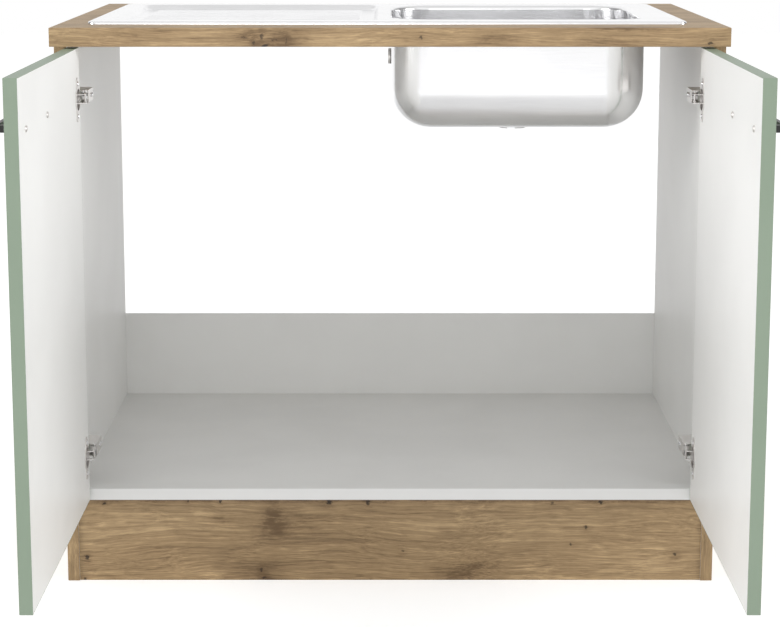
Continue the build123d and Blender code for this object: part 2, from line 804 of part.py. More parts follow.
with BuildPart() as door_board:
    slab(core_low, core_high)
    drill(cup_seats, cup_radius + cup_bore_clearance, cup_depth + cup_bore_clearance)
    drill(cup_screw_seats, cup_screw_radius, cup_screw_length)
    drill(handle_screw_seats, handle_screw_radius, door_thickness)
save_pair(door_board.part, "door_board")

with BuildPart() as door_face:
    slab((leaf_outer_x, core_low[1], core_low[2]), (core_low[0], core_high[1], core_high[2]))
    drill(handle_screw_seats, handle_screw_radius, door_thickness)
save_pair(door_face.part, "door_face")

with BuildPart() as door_edging:
    slab(leaf_low, leaf_high)
    slab((leaf_outer_x, core_low[1], core_low[2]), core_high, mode=Mode.SUBTRACT)
save_pair(door_edging.part, "door_edging")

with BuildPart() as handle:
    handle_length = handle_centres + handle_leg
    handle_middle_y = (handle_ys[0] + handle_ys[1]) / 2
    with BuildSketch(Plane.XY.offset(handle_z - handle_height / 2)) as outline:
        with Locations((leaf_outer_x - handle_reach / 2, handle_middle_y)):
            Rectangle(handle_reach, handle_length)
        fillet(outline.vertices().group_by(Axis.X)[0], handle_outer_radius)
    extrude(amount=handle_height)
    with BuildSketch(Plane.XY.offset(handle_z - handle_height / 2)) as opening:
        with Locations((leaf_outer_x - (handle_reach - handle_bar) / 2, handle_middle_y)):
            Rectangle(handle_reach - handle_bar, handle_length - 2 * handle_leg)
        fillet(opening.vertices().group_by(Axis.X)[0], handle_inner_radius)
    extrude(amount=handle_height, mode=Mode.SUBTRACT)
    faces = handle.faces().filter_by(Axis.Z)
    fillet(faces.edges().filter_by_position(Axis.X, -unit_width, leaf_outer_x - NEAR), handle_softening)
    drill(handle_back_seats, handle_screw_radius, handle_screw_grip)
save_pair(handle.part, "handle")

with BuildPart() as handle_screws:
    screws(
        handle_screw_seats,
        handle_screw_radius,
        door_thickness + handle_screw_grip,
        head_radius=handle_head_radius,
        head_height=handle_head_height,
    )
save_pair(handle_screws.part, "handle_screws")

# ---------------------------------------------------------------- hinges, those of the left door drawn and mirrored

with BuildPart() as hinge_cups:
    for z in hinge_heights:
        with BuildSketch(Plane(origin=(leaf_inner_x, cup_line_y, z), x_dir=(0, 1, 0), z_dir=(1, 0, 0))):
            Circle(cup_radius + flange_ring)
            with Locations((-flange_offset, 0)):
                RectangleRounded(flange_width, flange_length, flange_corner)
        extrude(amount=flange_thickness)
    rods(cup_seats, cup_radius, cup_depth)
    drill(raised(cup_seats, flange_thickness), cup_radius - cup_wall, flange_thickness + cup_depth - cup_wall)
    drill(raised(cup_screw_seats, flange_thickness), cup_screw_radius, flange_thickness)
    with Locations(*[(cup_pin.X, cup_pin.Y, z) for z in hinge_heights]):
        Cylinder(pin_radius, 2 * cup_pin_half_length, mode=Mode.SUBTRACT)
save_pair(hinge_cups.part, "hinge_cups")

with BuildPart() as cup_screws:
    screws(
        raised(cup_screw_seats, flange_thickness),
        cup_screw_radius,
        flange_thickness + cup_screw_length,
        head_radius=cup_head_radius,
        head_height=cup_head_height,
    )
save_pair(cup_screws.part, "cup_screws")

with BuildPart() as cup_pins:
    with Locations(*[(cup_pin.X, cup_pin.Y, z) for z in hinge_heights]):
        Cylinder(pin_radius, 2 * cup_pin_half_length)
save_pair(cup_pins.part, "cup_pins")

with BuildPart() as hinge_links:
    for z in hinge_heights:
        for level in (z - cheek_inner - cheek_thickness, z + cheek_inner):
            with BuildSketch(Plane.XY.offset(level)):
                hinge_bar(arm_pin, link_knee, link_half_width)
                hinge_bar(link_knee, cup_pin, link_half_width)
                with Locations((arm_pin.X, arm_pin.Y), (cup_pin.X, cup_pin.Y)):
                    Circle(link_eye_radius)
            extrude(amount=cheek_thickness)
        with BuildSketch(Plane.XY.offset(z - cheek_inner)):
            hinge_bar(
                arm_pin + (link_knee - arm_pin) * link_web_start,
                arm_pin + (link_knee - arm_pin) * link_web_end,
                link_web,
            )
        extrude(amount=2 * cheek_inner)
    with Locations(*[(pin.X, pin.Y, z) for pin in (arm_pin, cup_pin) for z in hinge_heights]):
        Cylinder(pin_radius + pin_clearance, 2 * cup_pin_half_length, mode=Mode.SUBTRACT)
save_pair(hinge_links.part, "hinge_links")

arm_foot_x = arm_foot_height - inner_x
arm_front_y = front + arm_front
arm_back_y = front + arm_back
arm_web_y = arm_pin.Y + link_eye_radius + arm_nose_radius
channel_half = arm_half_width - arm_sheet
block_top_x = block_height - inner_x
adjuster_seats = seats([(arm_top_x, front + line, z) for line in adjuster_lines for z in hinge_heights], (1, 0, 0))

with BuildPart() as hinge_arms:
    for z in hinge_heights:
        with BuildSketch(Plane.XY.offset(z - arm_half_width)):
            with Locations((arm_pin.X, arm_pin.Y)):
                Circle(arm_nose_radius)
            with Locations(((arm_foot_x + arm_top_x) / 2, (arm_front_y + arm_back_y) / 2)):
                Rectangle(arm_top_x - arm_foot_x, arm_back_y - arm_front_y)
            make_hull()
        extrude(amount=2 * arm_half_width)
        slab(
            (arm_foot_x, arm_pin.Y - 2 * arm_nose_radius, z - channel_half),
            (arm_top_x, arm_web_y, z + channel_half),
            mode=Mode.SUBTRACT,
        )
        slab(
            (arm_foot_x, arm_web_y, z - channel_half),
            (arm_top_x - arm_sheet, arm_back_y, z + channel_half),
            mode=Mode.SUBTRACT,
        )
    with Locations(*[(arm_pin.X, arm_pin.Y, z) for z in hinge_heights]):
        Cylinder(pin_radius, 2 * arm_half_width, mode=Mode.SUBTRACT)
    drill(adjuster_seats, adjuster_radius, arm_sheet)
save_pair(hinge_arms.part, "hinge_arms")

with BuildPart() as arm_pins:
    with Locations(*[(arm_pin.X, arm_pin.Y, z) for z in hinge_heights]):
        Cylinder(pin_radius, 2 * (arm_half_width + arm_pin_proud))
save_pair(arm_pins.part, "arm_pins")

with BuildPart() as mounting_plates:
    for z in hinge_heights:
        with BuildSketch(Plane(origin=(-inner_x, front + plate_line, z), x_dir=(0, 1, 0), z_dir=(1, 0, 0))):
            RectangleRounded(2 * plate_half_width, 2 * plate_half_length, plate_corner)
        extrude(amount=plate_sheet)
        slab(
            (-inner_x, front + block_front, z - channel_half + block_side_clearance),
            (block_top_x, front + block_back, z + channel_half - block_side_clearance),
        )
    drill(raised(panel_plate_seats, plate_sheet), plate_screw_radius, plate_sheet)
    drill(sunk(adjuster_seats, arm_top_x - block_top_x), adjuster_radius, adjuster_bite)
save_pair(mounting_plates.part, "mounting_plates")

with BuildPart() as plate_screws:
    screws(
        raised(panel_plate_seats, plate_sheet),
        plate_screw_radius,
        plate_sheet + plate_screw_length,
        head_radius=plate_head_radius,
        head_height=plate_head_height,
    )
save_pair(plate_screws.part, "plate_screws")

with BuildPart() as adjusting_screws:
    screws(
        adjuster_seats,
        adjuster_radius,
        arm_top_x - block_top_x + adjuster_bite,
        head_radius=adjuster_head_radius,
        head_height=adjuster_head_height,
    )
save_pair(adjusting_screws.part, "adjusting_screws")

# ---------------------------------------------------------------- pivots and travel, in metres and degrees

print("arm pin", round(arm_pin.X / 1000, 5), round(arm_pin.Y / 1000, 5))
print("cup pin", round(cup_pin.X / 1000, 5), round(cup_pin.Y / 1000, 5))
print("link turn", round(link_turn, 4), "door on link", round(-90 - link_turn, 4))
print("hinge heights", [round(z / 1000, 4) for z in hinge_heights])
print("bowl middle", bowl_middle, "deck", deck_top, "bowl underside", bowl_underside)
print("handle", handle_ys, handle_z)
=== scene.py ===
"""Kitchen sink unit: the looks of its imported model, worked out in the model's own frame.

Sizes are in millimetres until a Shell writes them to a mesh in metres.
"""

import logging
import math
from collections.abc import Callable, Sequence
from dataclasses import dataclass
from enum import Enum
from functools import partial

import bmesh
import bpy
import numpy as np
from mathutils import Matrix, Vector
from mathutils.geometry import delaunay_2d_cdt


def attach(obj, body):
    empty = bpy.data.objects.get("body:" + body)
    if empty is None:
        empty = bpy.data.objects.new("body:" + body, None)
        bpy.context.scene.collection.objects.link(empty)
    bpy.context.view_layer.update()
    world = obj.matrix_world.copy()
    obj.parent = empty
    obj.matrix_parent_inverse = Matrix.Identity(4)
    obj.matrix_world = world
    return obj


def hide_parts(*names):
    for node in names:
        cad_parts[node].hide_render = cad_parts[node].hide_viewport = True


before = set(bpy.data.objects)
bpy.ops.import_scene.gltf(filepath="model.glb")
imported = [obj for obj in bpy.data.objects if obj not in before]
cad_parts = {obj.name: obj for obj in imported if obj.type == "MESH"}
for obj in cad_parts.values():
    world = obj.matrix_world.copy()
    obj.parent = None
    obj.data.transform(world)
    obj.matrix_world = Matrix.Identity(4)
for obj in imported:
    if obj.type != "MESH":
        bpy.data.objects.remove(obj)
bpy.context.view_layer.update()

LOG = logging.getLogger("sink_unit")
MM = 0.001
GUARD = 0.08
"""Distance in mm between an edge's rounding and the row of points that keeps the flat beside it flat."""
HIDDEN = 0.02
"""Rounding in mm of an edge that lies against another piece."""
CREASE = math.radians(38)
"""Turn over which an edge of a new piece is shaded sharp."""
COPY_CREASE = math.radians(32)
"""Turn over which an edge of a copied node is shaded sharp."""
BEVEL_FROM = math.radians(50)
"""Turn over which an edge of a copied node is bevelled."""
SAME_PLANE = math.radians(0.6)
"""Turn under which two faces of a copied node become one."""
SAME_POINT = 2e-6
"""Distance in metres within which two corners of a copied node become one."""

Socket = bpy.types.NodeSocket
Colour = tuple[float, float, float, float]
Point = tuple[float, float, float]


def srgb(red: int, green: int, blue: int) -> Colour:
    """A screen colour as the linear colour that shaders use, by the usual curve of screens.

    Args:
        red: Red from 0 to 255.
        green: Green from 0 to 255.
        blue: Blue from 0 to 255.

    Returns:
        The colour with full cover.
    """
    share = np.array([red, green, blue]) / 255
    linear = np.where(share <= 0.04045, share / 12.92, ((share + 0.055) / 1.055) ** 2.4)
    return (*linear.tolist(), 1.0)


# ------------------------------------------------------------------ outlines and surfaces


class Facing(Enum):
    """Which way a shape drawn flat and grown along its own Z looks: where its X, Y and Z go."""

    UP = ((1, 0, 0), (0, 1, 0), (0, 0, 1))
    RIGHT = ((0, 1, 0), (0, 0, 1), (1, 0, 0))
    LEFT = ((0, 0, 1), (0, 1, 0), (-1, 0, 0))
    FRONT = ((1, 0, 0), (0, 0, 1), (0, -1, 0))


def placed(points: np.ndarray, origin: Point, facing: Facing) -> np.ndarray:
    """Local points turned to face a way and moved to their origin."""
    return points @ np.array(facing.value, float) + np.array(origin, float)


def quarter(steps: int) -> np.ndarray:
    """The angles of a quarter turn, in radians."""
    return np.radians(np.linspace(0, 90, steps + 1))


def arc(centre: tuple[float, float], radius: float, start: float, end: float, steps: int) -> np.ndarray:
    """Points on a circle, centre plus radius times cosine and sine, from one angle in degrees to another."""
    angle = np.radians(np.linspace(start, end, steps + 1))
    return np.array(centre) + radius * np.stack([np.cos(angle), np.sin(angle)], axis=1)


def rounded_rectangle(width: float, height: float, radius: float, middle: tuple[float, float], steps: int,
                      grow: float) -> np.ndarray:
    """Outline of a rectangle whose corners are quarter circles.

    Each corner turns 90 degrees about a centre set back from both sides by the radius. One more point stands
    just beyond either end of the turn, so that shading stays flat on the straight sides.

    Args:
        width: Size along the first axis.
        height: Size along the second axis.
        radius: Corner radius.
        middle: Where the rectangle's middle lies.
        steps: Chords in each corner.
        grow: How far the outline moves outward while the corners' centres stay; negative moves inward.

    Returns:
        Points in anticlockwise order.
    """
    radius = max(radius + grow, GUARD / 2)
    x, y = width / 2 + grow - radius, height / 2 + grow - radius
    runs = []
    for side_x, side_y, start in ((1, -1, -90), (1, 1, 0), (-1, 1, 90), (-1, -1, 180)):
        turn = arc((side_x * x, side_y * y), radius, start, start + 90, steps)
        leave = math.radians(start + 180)
        enter = math.radians(start + 90)
        before = turn[0] - GUARD * np.array([math.cos(enter), math.sin(enter)])
        after = turn[-1] + GUARD * np.array([math.cos(leave), math.sin(leave)])
        runs.append(np.vstack([before, turn, after]))
    return np.vstack(runs) + np.array(middle, float)


def offset(outline: np.ndarray, grow: float) -> np.ndarray:
    """A closed anticlockwise outline moved outward, or inward where grow is negative.

    A point moves against the sum of the left-hand normals of its two sides, divided by one plus their dot
    product, which keeps both sides at the stated distance.

    Args:
        outline: Points in anticlockwise order.
        grow: How far each side moves outward.

    Returns:
        As many points in the same order.
    """
    ahead = np.roll(outline, -1, axis=0) - outline
    ahead /= np.linalg.norm(ahead, axis=1, keepdims=True)
    left_ahead = np.stack([-ahead[:, 1], ahead[:, 0]], axis=1)
    left_behind = np.roll(left_ahead, 1, axis=0)
    share = 1 + (left_ahead * left_behind).sum(axis=1, keepdims=True)
    move = (left_ahead + left_behind) / np.maximum(share, 0.2)
    return outline - grow * move


def pillow(outline: Callable[..., np.ndarray], low: float, high: float, softness: float,
           low_softness: float | None = None, steps: int = 3) -> np.ndarray:
    """A flat outline grown into a body whose edges are quarter rounds.

    Along the rounding the outline moves in by softness times one minus the sine of the turn, while the level
    moves by softness times one minus its cosine.

    Args:
        outline: Gives the anticlockwise outline for an amount to grow by.
        low: Level of the lower face.
        high: Level of the upper face.
        softness: Radius of the upper edge.
        low_softness: Radius of the lower edge, the same as the upper edge where it is left out.
        steps: Chords in each rounding.

    Returns:
        Rings from the lower face to the upper face.
    """
    under = softness if low_softness is None else low_softness
    turn = np.linspace(0, math.pi / 2, steps + 1)
    inward, level = [under + GUARD], [low]
    inward += list(under * (1 - np.sin(turn))) + [0.0, 0.0] + list(softness * (1 - np.sin(turn[::-1])))
    level += list(low + under * (1 - np.cos(turn))) + [low + under + GUARD, high - softness - GUARD]
    level += list(high - softness * (1 - np.cos(turn[::-1])))
    inward.append(softness + GUARD)
    level.append(high)
    return grown(outline, -np.array(inward), level)


def grown(outline: Callable[..., np.ndarray], amounts: np.ndarray, levels: Sequence[float]) -> np.ndarray:
    """Rings of one outline, grown by each amount and standing at each level."""
    return stacked([outline(grow=amount) for amount in amounts], levels)


def stacked(outlines: list[np.ndarray], levels: Sequence[float]) -> np.ndarray:
    """Outlines with the same number of points, each at its own level, as one array of rings."""
    return np.stack([np.column_stack([line, np.full(len(line), z)]) for line, z in zip(outlines, levels)])


def revolved(profile: list[tuple[float, float]], steps: int = 48) -> np.ndarray:
    """Rings of a profile of radius and height turned round the Z axis."""
    circles = [arc((0, 0), radius, 0, 360, steps)[:-1] for radius, _ in profile]
    return stacked(circles, [height for _, height in profile])


def carried(path: np.ndarray, profile: np.ndarray) -> np.ndarray:
    """A closed profile carried along an open path that lies flat.

    The profile's first coordinate goes to the right-hand side of the path, lengthened by one over the cosine
    of half the turn so that corners are mitred, and its second coordinate goes up.

    Args:
        path: Points with two coordinates.
        profile: Points with two coordinates, in anticlockwise order seen along the path.

    Returns:
        One ring for each point of the path.
    """
    run = np.diff(path, axis=0)
    run /= np.linalg.norm(run, axis=1, keepdims=True)
    right = np.stack([run[:, 1], -run[:, 0]], axis=1)
    before, after = np.vstack([right[:1], right]), np.vstack([right, right[-1:]])
    mitre = (before + after) / (1 + (before * after).sum(axis=1, keepdims=True))
    flat = path[:, None, :] + profile[None, :, :1] * mitre[:, None, :]
    height = np.broadcast_to(profile[None, :, 1:], (len(path), len(profile), 1))
    return np.concatenate([flat, height], axis=2)


def level_triangles(places: np.ndarray, loops: list[np.ndarray]) -> list[list[int]]:
    """Triangles of a level area between an outer loop and holes.

    A Delaunay net over all points, with the loops as fixed edges. The loops bulge outward everywhere, so a
    triangle whose three corners lie on one hole lies inside that hole and is left out.

    Args:
        places: All points, by number.
        loops: Numbers of the points round the outside, then round each hole.

    Returns:
        Three point numbers for each triangle, facing up.
    """
    numbers = np.concatenate(loops)
    owner = np.repeat(np.arange(len(loops)), [len(loop) for loop in loops])
    starts = np.cumsum([0] + [len(loop) for loop in loops])
    edges = [(first + i, first + (i + 1) % (last - first)) for first, last in zip(starts, starts[1:])
             for i in range(last - first)]
    only_inside, closeness = 1, 1e-6
    net = delaunay_2d_cdt([Vector(places[i][:2]) for i in numbers], edges, [], only_inside, closeness)
    triangles = np.array([[net[3][corner][0] for corner in face] for face in net[2]])
    owners = owner[triangles]
    inside = (owners[:, 0] > 0) & (owners[:, 0] == owners[:, 1]) & (owners[:, 1] == owners[:, 2])
    triangles = numbers[triangles[~inside]]
    first, second, third = (places[triangles[:, i], :2] for i in range(3))
    ahead, aside = second - first, third - first
    under = ahead[:, 0] * aside[:, 1] < ahead[:, 1] * aside[:, 0]
    triangles[under] = triangles[under, ::-1]
    return triangles.tolist()


class Side(Enum):
    """The two hands of the unit. The value is the sign of X."""

    LEFT = -1
    RIGHT = 1

    @property
    def ending(self) -> str:
        """The word that ends the names of this hand's nodes."""
        return "_left" if self is Side.LEFT else "_right"


class Shell:
    """Points and faces of a piece, gathered from surfaces before they become one mesh."""

    def __init__(self) -> None:
        """Start with no surfaces."""
        self.points: list[np.ndarray] = []
        self.faces: list[list[int]] = []
        self.flats: list[list[np.ndarray]] = []
        self.count = 0

    def skin(self, rings: np.ndarray, low: bool = False, high: bool = False) -> np.ndarray:
        """Add the surface through a stack of closed rings.

        Args:
            rings: Rings of anticlockwise points, stacked the way that the rings face.
            low: Close the first ring with a flat face.
            high: Close the last ring with a flat face.

        Returns:
            Number of each point, by ring.
        """
        rows, columns = rings.shape[:2]
        index = self.count + np.arange(rows * columns).reshape(rows, columns)
        lower, upper = index[:-1], index[1:]
        quads = np.stack([lower, np.roll(lower, -1, axis=1), np.roll(upper, -1, axis=1), upper], axis=-1)
        self.faces += quads.reshape(-1, 4).tolist()
        self.faces += [index[0, ::-1].tolist()] if low else []
        self.faces += [index[-1].tolist()] if high else []
        self.points.append(rings.reshape(-1, 3))
        self.count += rows * columns
        return index

    def closed(self, rings: np.ndarray, facing: Facing = Facing.UP, seat: Point = (0, 0, 0)) -> None:
        """Add a stack of rings as a closed body that faces a way and stands on its seat."""
        self.skin(placed(rings, seat, facing), low=True, high=True)

    def flat(self, *loops: np.ndarray) -> None:
        """Fill the flat area between loops of existing points: one outside and any number of holes."""
        self.flats.append(list(loops))

    def handed(self, side: Side) -> "Shell":
        """This shell for the left hand, or its mirror image for the right.

        Args:
            side: Which hand the piece is for.

        Returns:
            A shell whose faces look outward. A mirror image has no flat areas.
        """
        if side is Side.LEFT:
            return self
        other = Shell()
        other.points = [points * np.array([-1.0, 1.0, 1.0]) for points in self.points]
        other.faces = [face[::-1] for face in self.faces]
        other.count = self.count
        return other

    def piece(self, node: str, made: str, finish: "Finish", body: str, sheet: float = 0.0) -> None:
        """Make the mesh that stands for a node, dress it and let it ride on its body.

        Args:
            node: The node that it replaces.
            made: How it is made, which ends the piece's name.
            finish: What it is made of.
            body: The body that it moves with.
            sheet: Thickness of sheet in mm, added behind the surface, or 0 for a closed body.
        """
        places = np.vstack(self.points)
        level = [triangle for loops in self.flats for triangle in level_triangles(places, loops)]
        name = f"{node}_{made}"
        mesh = bpy.data.meshes.new(name)
        mesh.from_pydata(places * MM, [], self.faces + level)
        smoothed(mesh, CREASE)
        thing = in_scene(name, mesh)
        if sheet:
            thicken = thing.modifiers.new("sheet", "SOLIDIFY")
            thicken.thickness = sheet * MM
            thicken.offset = -1
        settle(thing, finish, body, node)


def in_scene(name: str, data: bpy.types.ID) -> bpy.types.Object:
    """A new object in the scene.

    Args:
        name: The object's name.
        data: Its mesh, lamp or camera.

    Returns:
        The object.
    """
    thing = bpy.data.objects.new(name, data)
    bpy.context.scene.collection.objects.link(thing)
    return thing


def smoothed(mesh: bpy.types.Mesh, crease: float) -> None:
    """Shade a mesh smooth, except over edges that turn by more than the crease."""
    mesh.polygons.foreach_set("use_smooth", np.ones(len(mesh.polygons), bool))
    mesh.set_sharp_from_angle(angle=crease)


def settle(thing: bpy.types.Object, finish: "Finish", body: str, node: str) -> None:
    """Dress a new piece, let it replace its node and ride on its body.

    Args:
        thing: The piece.
        finish: What it is made of.
        body: The body that it moves with.
        node: The node that it replaces.
    """
    thing.data.materials.clear()
    thing.data.materials.append(finish.material())
    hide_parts(node)
    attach(thing, body)
    LOG.info("%s: %d faces on %s", thing.name, len(thing.data.polygons), body)


def ease(node: str, finish: "Finish", body: str, width: float) -> None:
    """Make a merged copy of a node with its sharp edges bevelled, to stand for the node.

    Args:
        node: The node's name.
        finish: What it is made of.
        body: The body that it moves with.
        width: Width of the bevel in mm.
    """
    copy = bmesh.new()
    copy.from_mesh(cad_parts[node].data)
    bmesh.ops.remove_doubles(copy, verts=copy.verts, dist=SAME_POINT)
    bmesh.ops.dissolve_limit(copy, angle_limit=SAME_PLANE, verts=copy.verts, edges=copy.edges)
    name = f"{node}_eased"
    mesh = bpy.data.meshes.new(name)
    copy.to_mesh(mesh)
    copy.free()
    smoothed(mesh, COPY_CREASE)
    thing = in_scene(name, mesh)
    bevel = thing.modifiers.new("eased", "BEVEL")
    bevel.width = width * MM
    bevel.segments = 2
    bevel.angle_limit = BEVEL_FROM
    bevel.use_clamp_overlap = True
    bevel.harden_normals = True
    settle(thing, finish, body, node)


def dress(finish: "Finish", *nodes: str) -> None:
    """Give nodes whose shape stays their finish.

    Args:
        finish: What they are made of.
        nodes: The nodes' names.
    """
    for node in nodes:
        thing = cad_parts[node]
        thing.data.materials.clear()
        thing.data.materials.append(finish.material())
        LOG.info("%s: finish %s", node, finish.slot)


def read_vectors(faces: bpy.types.bpy_prop_collection, what: str) -> np.ndarray:
    """One vector of each face.

    Args:
        faces: A mesh's faces.
        what: Which of a face's vectors, such as its normal.

    Returns:
        Rows of three.
    """
    values = np.empty(len(faces) * 3)
    faces.foreach_get(what, values)
    return values.reshape(-1, 3)


def pair(name: str) -> tuple[str, str]:
    """The names of a left and a right node."""
    return name + Side.LEFT.ending, name + Side.RIGHT.ending


# ------------------------------------------------------------------ shader graphs


class Graph:
    """A node tree with short ways to add and join its nodes."""

    def __init__(self, tree: bpy.types.NodeTree) -> None:
        """Take over a tree and clear it."""
        self.tree = tree
        tree.nodes.clear()

    def add(self, kind: str, inputs: dict | None = None, **settings: object) -> bpy.types.Node:
        """Add a node.

        Args:
            kind: The node's type.
            inputs: A value or a socket for each input, by the input's name or number.
            settings: The node's own settings.

        Returns:
            The node.
        """
        node = self.tree.nodes.new(kind)
        for name, value in settings.items():
            setattr(node, name, value)
        for key, value in (inputs or {}).items():
            if isinstance(value, Socket):
                self.tree.links.new(value, node.inputs[key])
            else:
                node.inputs[key].default_value = value
        return node

    def noise(self, vector: Socket, scale: object, detail: float = 2.0, roughness: float = 0.5,
              distortion: float = 0.0) -> Socket:
        """Noise around 0.5 at a point of the vector."""
        inputs = {"Vector": vector, "Scale": scale, "Detail": detail, "Roughness": roughness,
                  "Distortion": distortion}
        return self.add("ShaderNodeTexNoise", inputs).outputs[0]

    def stretch(self, vector: Socket, scale: Point, turn: Point = (0, 0, 0)) -> Socket:
        """The vector scaled and turned."""
        inputs = {"Vector": vector, "Scale": scale, "Rotation": turn}
        return self.add("ShaderNodeMapping", inputs).outputs[0]

    def streaks(self, vector: Socket, along: float, across: float, detail: float = 2.0,
                roughness: float = 0.5, distortion: float = 0.0) -> Socket:
        """Noise stretched along X, with so many waves to the metre along it and across it."""
        return self.noise(self.stretch(vector, (along, across, across)), 1.0, detail, roughness, distortion)

    def span(self, value: Socket, low: float, high: float, to_low: float = 0.0,
             to_high: float = 1.0) -> Socket:
        """The value's range low to high mapped smoothly to another range."""
        inputs = {0: value, 1: low, 2: high, 3: to_low, 4: to_high}
        return self.add("ShaderNodeMapRange", inputs, interpolation_type="SMOOTHSTEP").outputs[0]

    def calc(self, operation: str, first: object, second: object = 0.0, third: object = 0.0) -> Socket:
        """One step of arithmetic."""
        return self.add("ShaderNodeMath", {0: first, 1: second, 2: third}, operation=operation).outputs[0]

    def times(self, first: object, second: object) -> Socket:
        """One value times another."""
        return self.calc("MULTIPLY", first, second)

    def vector(self, operation: str, first: object, second: object = (0, 0, 0), out: int = 0) -> Socket:
        """One step of vector arithmetic."""
        return self.add("ShaderNodeVectorMath", {0: first, 1: second}, operation=operation).outputs[out]

    def wander(self, vector: Socket, scale: Point, reach: Point) -> Socket:
        """The vector moved about by noise.

        Args:
            vector: The coordinate.
            scale: Waves of the noise to the metre, along each axis.
            reach: Three times what the vector moves by at most, about, along each axis.

        Returns:
            The moved coordinate.
        """
        inputs = {"Vector": self.stretch(vector, scale), "Scale": 1.0, "Detail": 2.0}
        colour = self.add("ShaderNodeTexNoise", inputs).outputs["Color"]
        away = self.vector("SUBTRACT", colour, (0.5, 0.5, 0.5))
        return self.vector("ADD", vector, self.vector("MULTIPLY", away, reach))

    def use(self, effect: "Effect", inputs: dict) -> bpy.types.bpy_prop_collection:
        """Add the group of a shared effect. Returns its outputs."""
        return self.add("ShaderNodeGroup", inputs, node_tree=effect.group()).outputs

    def blend(self, amount: object, first: object, second: object, kind: str = "MIX") -> Socket:
        """Two colours mixed by an amount."""
        node = self.add("ShaderNodeMix", {0: amount, 6: first, 7: second}, data_type="RGBA", blend_type=kind)
        return node.outputs[2]


Sockets = dict[str, Socket]


class Effect:
    """A shader effect that finishes share as one node group, made at its first use.

    A subclass names the group and gives the kind of each input and output socket.
    """

    name: str
    inputs: dict[str, str]
    outputs: dict[str, str]

    def group(self) -> bpy.types.NodeTree:
        """The effect's node group, with its sockets and what draw adds.

        Returns:
            The same group at each call.
        """
        if self.name not in bpy.data.node_groups:
            tree = bpy.data.node_groups.new(self.name, "ShaderNodeTree")
            for way, sockets in (("INPUT", self.inputs), ("OUTPUT", self.outputs)):
                for label, kind in sockets.items():
                    tree.interface.new_socket(label, in_out=way, socket_type="NodeSocket" + kind)
            graph = Graph(tree)
            entry = graph.add("NodeGroupInput").outputs
            graph.add("NodeGroupOutput", self.draw(graph, {label: entry[label] for label in self.inputs}))
        return bpy.data.node_groups[self.name]

    def draw(self, graph: Graph, given: Sockets) -> Sockets:
        """Add the effect's own nodes.

        Args:
            graph: The group's graph.
            given: The group's inputs by name.

        Returns:
            What goes to each output, by the output's name.
        """
        raise NotImplementedError


class Roughening(Effect):
    """An effect that spreads a roughness by a pattern."""

    inputs = {"Vector": "Vector", "Scale": "Float", "Roughness": "Float", "Spread": "Float"}

    def over(self, graph: Graph, place: Socket, scale: float, roughness: float,
             spread: float) -> bpy.types.bpy_prop_collection:
        """Use the effect in a finish. Returns its outputs."""
        return graph.use(self, {"Vector": place, "Scale": scale, "Roughness": roughness, "Spread": spread})

    @staticmethod
    def roughness(graph: Graph, given: Sockets, pattern: Socket, usual: float) -> Socket:
        """The given roughness plus the spread times what the pattern has over its usual value."""
        wander = graph.times(graph.calc("SUBTRACT", pattern, usual), given["Spread"])
        return graph.calc("ADD", given["Roughness"], wander)


class Unevenness(Roughening):
    """Fine unevenness of any surface: roughness in small and large patches, and a fine height."""

    name = "fine unevenness"
    outputs = {"Roughness": "Float", "Height": "Float"}

    def draw(self, graph: Graph, given: Sockets) -> Sockets:
        """Fine noise, with noise fifty times as broad for the roughness."""
        fine = graph.noise(given["Vector"], given["Scale"], 3.0, 0.6)
        broad = graph.noise(given["Vector"], graph.times(given["Scale"], 0.02))
        both = graph.calc("MULTIPLY_ADD", fine, 0.6, broad)
        return {"Roughness": self.roughness(graph, given, both, 0.8), "Height": fine}


class Brushing(Roughening):
    """Drawn metal: long fine lines along the vector's X, as a height and as a tint that feeds roughness."""

    name = "brushed lines"
    outputs = {"Roughness": "Float", "Height": "Float", "Tint": "Float"}

    def draw(self, graph: Graph, given: Sockets) -> Sockets:
        """Noise stretched into lines, over broad patches."""
        lines = graph.noise(graph.stretch(given["Vector"], (0.02, 1, 1)), given["Scale"], 4.0, 0.7)
        patches = graph.noise(given["Vector"], graph.times(given["Scale"], 0.008))
        tint = graph.calc("MULTIPLY_ADD", lines, 0.7, graph.times(patches, 0.5))
        return {"Roughness": self.roughness(graph, given, tint, 0.6), "Height": lines, "Tint": tint}


